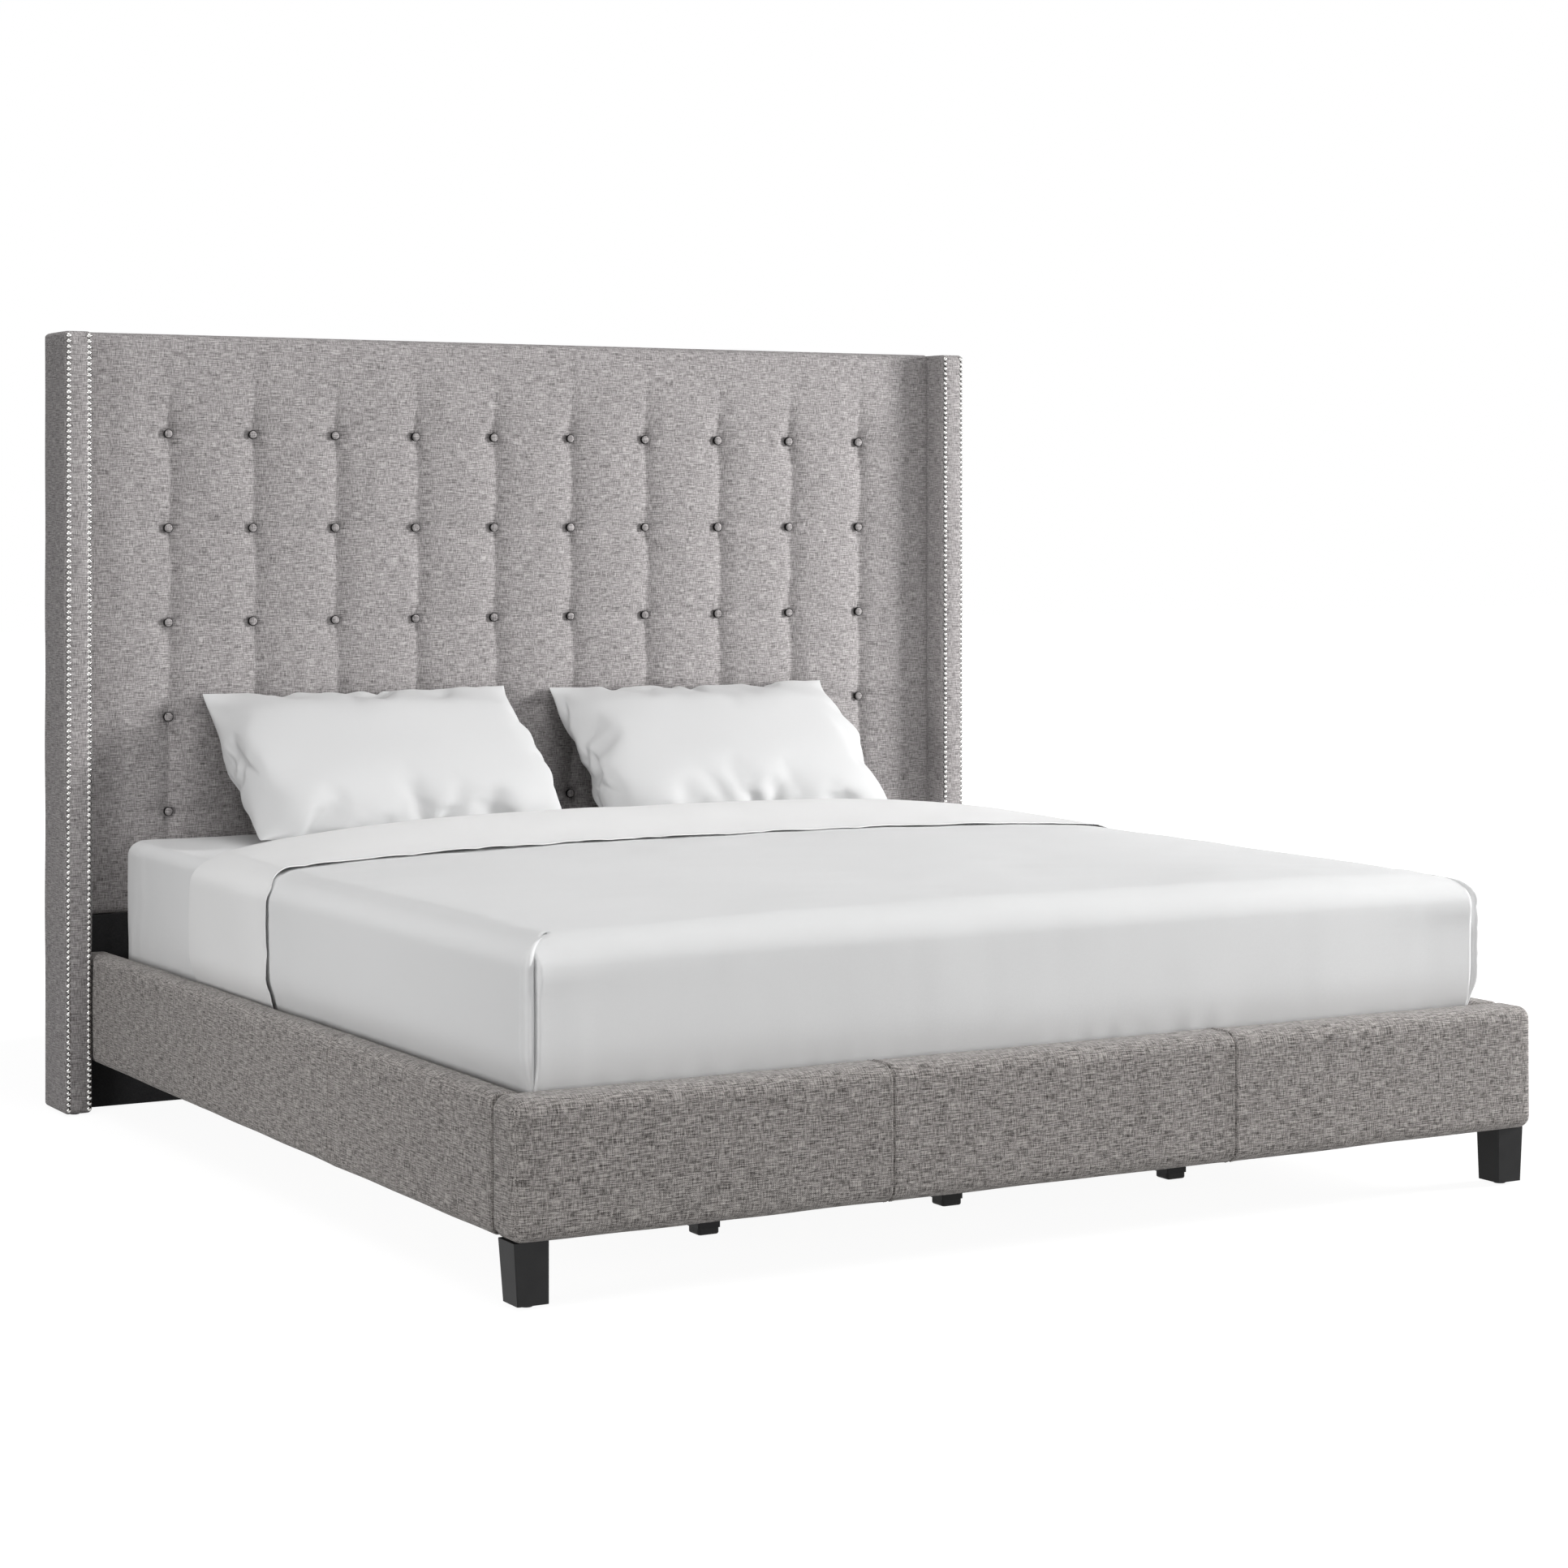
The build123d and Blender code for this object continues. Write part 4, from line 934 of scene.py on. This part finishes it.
def make_cuff(sizes):
    """Turned-down cuff of the top sheet. Across the bed it follows the cover's section. From head to foot
    its path comes out from under itself, rolls over the head edge along half an ellipse and ends in a hem
    that lifts in small waves."""
    half, edge_z, hem_z, drop = CUFF_HIGH[0], MATTRESS_TOP + 0.0145, CUFF_LOW[2], 0.055
    inset, height, tilt = rolled_path(hem_z, edge_z, drop, steps(drop, half, 0.014), 0.009)
    section_x, section_z, tilt = (
        np.concatenate((left, right[::-1][1:]))[:, None]
        for left, right in ((inset - half, half - inset), (height, height), (pi - tilt, tilt)))
    flat = np.sin(tilt) ** 2
    head, foot = CUFF_HIGH[1] + 0.008, CUFF_LOW[1]
    reach, tucked = 0.0065 + 0.026 * flat, 0.1
    drop_to_sheet = 0.012 + flat * (edge_z + bed_rise(section_x, head) - SHEET_HIGH[2] - 0.012)
    turn = np.linspace(-pi / 2, pi / 2, 14)
    under = np.linspace(0, 1, 6)[:-1]
    over = np.concatenate((np.linspace(0, 0.9, 30)[1:], np.linspace(0.9, 1, 10)[1:]))
    y = np.concatenate((head - tucked + (tucked - reach) * under, head - reach + reach * np.cos(turn),
                        head - reach - (head - reach - foot) * over), 1)
    sink = np.concatenate((0 * under + drop_to_sheet, drop_to_sheet / 2 * (1 - np.sin(turn)),
                           0 * over + 0 * drop_to_sheet), 1)
    lies_over = np.concatenate((0 * under, 0 * turn, 1 + 0 * over))
    at_hem = np.exp(-(y - foot) / 0.013) * lies_over
    at_head = smooth((y - (head - 0.16)) / 0.13)
    run = np.cumsum(np.hypot(np.diff(section_x, axis=0), np.diff(section_z, axis=0)))
    run = np.concatenate(([0], run))[:, None]
    low = np.clip((edge_z - section_z) / (edge_z - hem_z), 0, 1)
    on_side = smooth(low / 0.3)
    y = y + at_head * 0.008 * np.sin(pi * np.clip(low * 1.05, 0, 1)) ** 0.8 + at_head * 0.012 * low
    y = y - (1 - at_head) * (0.054 * smooth(low / 0.14) + 0.004 * ripples(86, 0.2, run))
    y = y + at_hem * 0.0012 * ripples(83, 0.05, run)
    lift = 0.0012 + 0.0026 * np.abs(ripples(81, 0.16, run)) ** 0.8
    lift = lift * (1 - 0.55 * smooth(section_x / 0.8 + 0.4))
    out = at_hem * lift - sink + 0.0008 * ripples(84, 0.24, run, y)
    pulls = np.sin((y + 0.10 * section_z) / 0.0021 + 3 * ripples(87, 0.3, run, y))
    pulls = pulls * np.exp(-np.abs(y - foot - 0.02) / 0.018) * lies_over
    swell = side_swell(section_z, edge_z + 0.005) * faces_there(np.abs(np.cos(tilt)))
    out = out + 0.0007 * pulls * on_side + SIDE_SWELL * swell
    out = out - 0.004 * (1 - smooth((section_z - hem_z - 0.01) / 0.05)) * on_side
    x = section_x + np.cos(tilt) * out
    z = section_z + np.sin(tilt) * out + flat * bed_rise(section_x, np.minimum(y, head))
    cuff = piece("sheet_cuff_cloth", [net(rows_of(x, y, z))], "white_cotton",
                 body="mattress_and_bedding", stands_for=["sheet_cuff"], closed=False, paint="cuff_cotton")
    thicken(cuff, sizes.sheet_thickness)


def inflate(made, frames, pressure):
    """Let air fill a cloth form, and keep the shape."""
    scene = bpy.context.scene
    cloth = made.modifiers.new("filling", "CLOTH")
    wanted = {"quality": 6, "mass": 0.2, "tension_stiffness": 25, "compression_stiffness": 25,
              "shear_stiffness": 8, "bending_stiffness": 0.8, "use_pressure": True,
              "uniform_pressure_force": pressure}
    for name, value in wanted.items():
        setattr(cloth.settings, name, value)
    cloth.settings.effector_weights.gravity = 0
    cloth.collision_settings.use_collision = False
    cloth.point_cache.frame_start, cloth.point_cache.frame_end = 1, frames
    for number in range(1, frames + 1):
        scene.frame_set(number)
    with bpy.context.temp_override(object=made, active_object=made, selected_objects=[made]):
        bpy.ops.object.modifier_apply(modifier=cloth.name)
    scene.frame_set(1)


def pillow_blank(seed, sizes):
    """Two layers of cloth sewn together at their edges. The upper and the lower one stand apart by
    (1 - p^2)(1 - q^2) times a few centimetres, with a little unevenness."""
    p, q = np.meshgrid(np.linspace(-1, 1, 89), np.linspace(-1, 1, 61), indexing="ij")
    gap = (1 - p**2) * (1 - q**2) * (0.05 + 0.005 * ripples(seed, 0.5, p, q))
    x, y = p * sizes.pillow_width * 0.56, q * sizes.pillow_height * 0.57
    return [net(rows_of(x, y, gap)), net(rows_of(x, y, -gap)[:, ::-1])]


def true_seam(points, flat, axis, half, drawn):
    """Move the seam back out where the filling drew it in too far: each line across the pillow is stretched
    so that its ends lie half - drawn (1 - s^4) from the middle, where s runs from -1 to 1 along the
    seam."""
    other = 1 - axis
    for side in (-1, 1):
        seam = flat[:, axis] * side > np.abs(flat[:, axis]).max() - 1e-5
        order = np.argsort(flat[seam, other])
        along, reach = flat[seam, other][order], np.abs(points[seam, axis][order])
        share = flat[:, other] / np.abs(along).max()
        on_side = points[:, axis] * side > 0
        wanted = half - drawn * (1 - share**4)
        even = np.convolve(np.pad(reach, 5, mode="edge"), np.ones(11) / 11, mode="valid")
        stretch = wanted / np.interp(flat[:, other], along, even)
        points[on_side, axis] *= stretch[on_side]


def press(value, limit, softness):
    """Values kept below a limit, bending away from it over the softness."""
    over = (value - limit) / softness
    return limit - softness * np.logaddexp(0, -over)


def make_pillows(sizes):
    """Pillows: blown up from two flat layers, brought to the filled size, leaned back on the headboard and
    flattened where they touch it and the bed."""
    for number, hand in enumerate(("left", "right")):
        low, high = limits(f"pillow_{hand}")
        made = piece(f"pillow_{hand}_case", pillow_blank(91 + number, sizes), "pillow_cotton",
                     body=f"pillow_{hand}", stands_for=[f"pillow_{hand}"], sharp=180)
        flat = read_points(made.data)
        inflate(made, frames=24, pressure=sizes.pillow_air)
        mesh = made.data
        points = read_points(mesh)
        points[:, 2] *= sizes.pillow_thickness / np.ptp(points[:, 2])
        true_seam(points, flat, 0, sizes.pillow_width / 2, drawn=0.007)
        true_seam(points, flat, 1, sizes.pillow_height / 2, drawn=0.013)
        share = points[:, 1] / sizes.pillow_height * 2
        points[:, 2] *= 1 - 0.14 * np.sin(share * pi / 2) - 0.42 * smooth((share - 0.5) / 0.45)
        rise, level = np.sin(sizes.pillow_lean), np.cos(sizes.pillow_lean)
        x, y, z = points.T
        x, y, z = x + (low[0] + high[0]) / 2 + 0.006, y * level - z * rise, y * rise + z * level
        pressed_back, sunk = 0.007, 0.012
        y = press(y - y.max() + high[1] + pressed_back, high[1] - 0.001, softness=0.012)
        z = -press(z.min() - z - low[2] + sunk, -low[2] - 0.0005, softness=0.014)
        mesh.vertices.foreach_set("co", rows_of(x, y, z).astype(np.float32).ravel())
        mesh.update()
        softer = made.modifiers.new("softer", "SMOOTH")
        softer.factor, softer.iterations = 0.5, 9
        finer = made.modifiers.new("finer", "SUBSURF")
        finer.levels = finer.render_levels = 1


# Finishes, stage and order of work

def make_finishes(colours):
    """Every finish, and the finishes of the pieces that stay as the frame has them."""
    c = {name: tuple(getattr(colours, name)) for name in BedColours.__annotations__}
    # Front of the wing cover: the nickel gets painted shade just in front of it
    recess = limits("wing_left_cover")[0][1]
    FINISHES.update({
        "headboard_linen": linen("headboard linen", c["linen_light"], c["linen_dark"], thread=0.0013,
                                 contrast=1.15),
        "frame_linen": linen("frame linen", c["frame_light"], c["frame_dark"], thread=0.0017, contrast=1.4),
        # Painted shade of the pinched fold round each button, given a metal finish
        "button_rim": metal("button rim", c["button_rim"], roughness=0.4, brushed=0.1),
        "white_cotton": percale("bedding percale", c["cotton"], crumple=0.10),
        "sheet_cotton": percale("fitted sheet percale", c["sheet_cotton"], crumple=0.10),
        "cuff_cotton": percale("top sheet percale", c["cuff_cotton"], crumple=0.10),
        "pillow_cotton": percale("pillow percale", c["pillow_cotton"], crumple=0.16),
        "mattress_ticking": percale("mattress ticking", c["ticking"], crumple=0.05),
        "black_panel": lining("panel lining", c["lining"]),
        "black_cloth": lining("back lining", c["lining"]),
        "black_wood": moulded("black lacquer", c["lacquer"], roughness=0.48, coat=0.04),
        "black_plastic": moulded("black plastic", c["plastic"], roughness=0.5, coat=0.0),
        "nickel": metal("polished nickel", c["nickel"], roughness=0.12, brushed=0.05, recess=recess),
        "zinc_steel": metal("zinc plate", c["zinc"], roughness=0.34, brushed=0.4),
        "slat_timber": timber("planed pine", c["pine"], ring=0.012, along_x=True),
        "frame_timber": timber("sawn softwood", c["softwood"], ring=0.009, along_x=False),
        "panel_board": timber("plywood", c["plywood"], ring=0.02, along_x=True),
    })
    for node, made in frame["nodes"].items():
        made.data.materials.clear()
        made.data.materials.append(FINISHES[SLOTS[node]])


def lamp(name, place, aim, size, power, spread=180):
    """A soft square lamp that faces the point it is aimed at, with its spread in degrees."""
    light = bpy.data.lights.new(name, "AREA")
    light.shape, light.size, light.energy, light.spread = "SQUARE", size, power, radians(spread)
    made = show(name, light)
    made.location = place
    x, y, z = np.array(aim) - np.array(place)
    made.rotation_euler = (np.arctan2(np.hypot(x, y), -z), 0, np.arctan2(y, x) - pi / 2)


def make_stage():
    """Pale floor, white surroundings, soft lamps and the camera of the photograph. The surroundings and
    the floor look white, and throw less light on the bed than they show."""
    scene = bpy.context.scene
    scene.view_settings.view_transform = "Standard"
    world = scene.world = bpy.data.worlds.new("studio")
    world.use_nodes = True
    tree = world.node_tree
    rays = add_node(tree, "ShaderNodeLightPath")
    seen = rays.output("Is Camera Ray")
    for kind in ("Is Glossy Ray", "Is Transmission Ray"):
        seen = node_math("MAXIMUM", seen, rays.output(kind))
    background, thrown = tree.nodes["Background"].inputs, 0.14
    put(tree, background["Color"], (1, 1, 1))
    put(tree, background["Strength"], thrown + seen * (1 - thrown))

    ground, glow_strength, near_share = 30, 1.3, 0.72
    across = np.linspace(-ground, ground, 3)
    x, y = np.meshgrid(across, across, indexing="ij")
    points, faces = net(rows_of(x, y, 0))
    floor = show("floor", new_mesh("floor", points, faces.tolist()))
    paint = Finish("studio floor", {"Base Color": (0.5, 0.5, 0.5), "Roughness": 0.9,
                                    "Specular IOR Level": 0.1})
    rays = paint.node("ShaderNodeLightPath")
    straight = node_math("MAXIMUM", rays.output("Is Camera Ray"), rays.output("Is Glossy Ray"))
    glow = paint.node("ShaderNodeEmission", None, {"Color": (1, 1, 1), "Strength": glow_strength})
    east, north, _ = paint.place()
    away = node_math("SQRT", east * east + north * north)
    share = node_math("MAXIMUM", away * 0.25 - 0.55, 0.0)
    share = node_math("MINIMUM", share + near_share, 1.0)
    plain = Value(paint.tree, paint.shader.outputs[0])
    mixed = paint.node("ShaderNodeMixShader", None, {0: straight * share, 1: plain, 2: glow})
    put(paint.tree, paint.tree.nodes["Material Output"].inputs["Surface"], mixed)
    floor.data.materials.append(paint.material)

    lamp("key", (5.2, -1.6, 1.85), aim=(0.4, 0.8, 1.0), size=1.4, power=384)
    lamp("side", (-4.2, -1.4, 0.9), aim=(-1.0, 0.3, 0.3), size=1.2, power=17, spread=95)
    lamp("front", (0.4, -6.2, 1.3), aim=(0.3, 0, 0.4), size=2.4, power=92)
    lamp("top", (-1.2, -0.8, 4.4), aim=(-0.9, -0.5, 0), size=3.2, power=80)

    camera = bpy.data.cameras.new("photograph")
    camera.sensor_width, camera.sensor_fit = 36, "HORIZONTAL"
    camera.lens, camera.shift_y = 78.22, -0.1708
    scene.camera = show("photograph", camera)
    scene.camera.location = (-3.3553, -5.9744, 1.2586)
    scene.camera.rotation_euler = (pi / 2, 0, -0.5199)


class Maker:
    """What every operator of the bed shares."""

    bl_options = {"REGISTER", "UNDO"}


class BED_OT_finishes(Maker, bpy.types.Operator):
    """Make the finishes and give the frame's own pieces theirs"""
    bl_idname = "wingback_bed.finishes"
    bl_label = "Finishes"

    def execute(self, context):
        make_finishes(context.scene.wingback_colours)
        return {"FINISHED"}


class BED_OT_stage(Maker, bpy.types.Operator):
    """Set up the floor, the lamps and the camera"""
    bl_idname = "wingback_bed.stage"
    bl_label = "Stage"

    def execute(self, context):
        make_stage()
        return {"FINISHED"}


class BED_OT_tufted_pad(Maker, bpy.types.Operator):
    """Make the tufted pad of the headboard"""
    bl_idname = "wingback_bed.tufted_pad"
    bl_label = "Tufted pad"

    def execute(self, context):
        make_tufted_pad(context.scene.wingback_sizes)
        return {"FINISHED"}


class BED_OT_buttons(Maker, bpy.types.Operator):
    """Make the covered buttons"""
    bl_idname = "wingback_bed.buttons"
    bl_label = "Buttons"

    def execute(self, context):
        make_buttons(context.scene.wingback_sizes)
        return {"FINISHED"}


class BED_OT_wings(Maker, bpy.types.Operator):
    """Make the covers of both wings"""
    bl_idname = "wingback_bed.wings"
    bl_label = "Wings"

    def execute(self, context):
        make_wings()
        return {"FINISHED"}


class BED_OT_back_cloth(Maker, bpy.types.Operator):
    """Make the black cloth behind the headboard, with its staples"""
    bl_idname = "wingback_bed.back_cloth"
    bl_label = "Back cloth"

    def execute(self, context):
        make_back_cloth()
        return {"FINISHED"}


class BED_OT_rails(Maker, bpy.types.Operator):
    """Make the covers of both rails"""
    bl_idname = "wingback_bed.rails"
    bl_label = "Rails"

    def execute(self, context):
        make_rails(context.scene.wingback_sizes)
        return {"FINISHED"}


class BED_OT_footboard(Maker, bpy.types.Operator):
    """Make the footboard's cover, with its seams and stitches"""
    bl_idname = "wingback_bed.footboard"
    bl_label = "Footboard"

    def execute(self, context):
        make_footboard(context.scene.wingback_sizes)
        return {"FINISHED"}


class BED_OT_mattress(Maker, bpy.types.Operator):
    """Make the mattress"""
    bl_idname = "wingback_bed.mattress"
    bl_label = "Mattress"

    def execute(self, context):
        make_mattress()
        return {"FINISHED"}


class BED_OT_bedding(Maker, bpy.types.Operator):
    """Make the fitted sheet, the bed cover and the turned-down cuff"""
    bl_idname = "wingback_bed.bedding"
    bl_label = "Bedding"

    def execute(self, context):
        for make in (make_fitted_sheet, make_bed_cover, make_cuff):
            make(context.scene.wingback_sizes)
        return {"FINISHED"}


class BED_OT_pillows(Maker, bpy.types.Operator):
    """Make both pillows"""
    bl_idname = "wingback_bed.pillows"
    bl_label = "Pillows"

    def execute(self, context):
        make_pillows(context.scene.wingback_sizes)
        return {"FINISHED"}


MAKERS = (BED_OT_finishes, BED_OT_stage, BED_OT_tufted_pad, BED_OT_buttons, BED_OT_wings,
          BED_OT_back_cloth, BED_OT_rails, BED_OT_footboard, BED_OT_mattress, BED_OT_bedding,
          BED_OT_pillows)


class BED_PT_panel(bpy.types.Panel):
    """Lists the makers, the sizes and the colours of the bed"""
    bl_idname = "BED_PT_panel"
    bl_label = "Wingback bed"
    bl_space_type = "VIEW_3D"
    bl_region_type = "UI"
    bl_category = "Wingback bed"

    def draw(self, context):
        for maker in MAKERS:
            self.layout.operator(maker.bl_idname)
        for group in (context.scene.wingback_sizes, context.scene.wingback_colours):
            box = self.layout.box()
            for name in type(group).__annotations__:
                box.prop(group, name)


CLASSES = (BedSizes, BedColours, *MAKERS, BED_PT_panel)


def register():
    for cls in CLASSES:
        bpy.utils.register_class(cls)
    bpy.types.Scene.wingback_sizes = bpy.props.PointerProperty(type=BedSizes)
    bpy.types.Scene.wingback_colours = bpy.props.PointerProperty(type=BedColours)


def unregister():
    del bpy.types.Scene.wingback_colours
    del bpy.types.Scene.wingback_sizes
    for cls in reversed(CLASSES):
        bpy.utils.unregister_class(cls)


def main():
    """Make every piece in order."""
    register()
    for maker in MAKERS:
        group, name = maker.bl_idname.split(".")
        getattr(getattr(bpy.ops, group), name)()


if __name__ == "__main__":
    main()
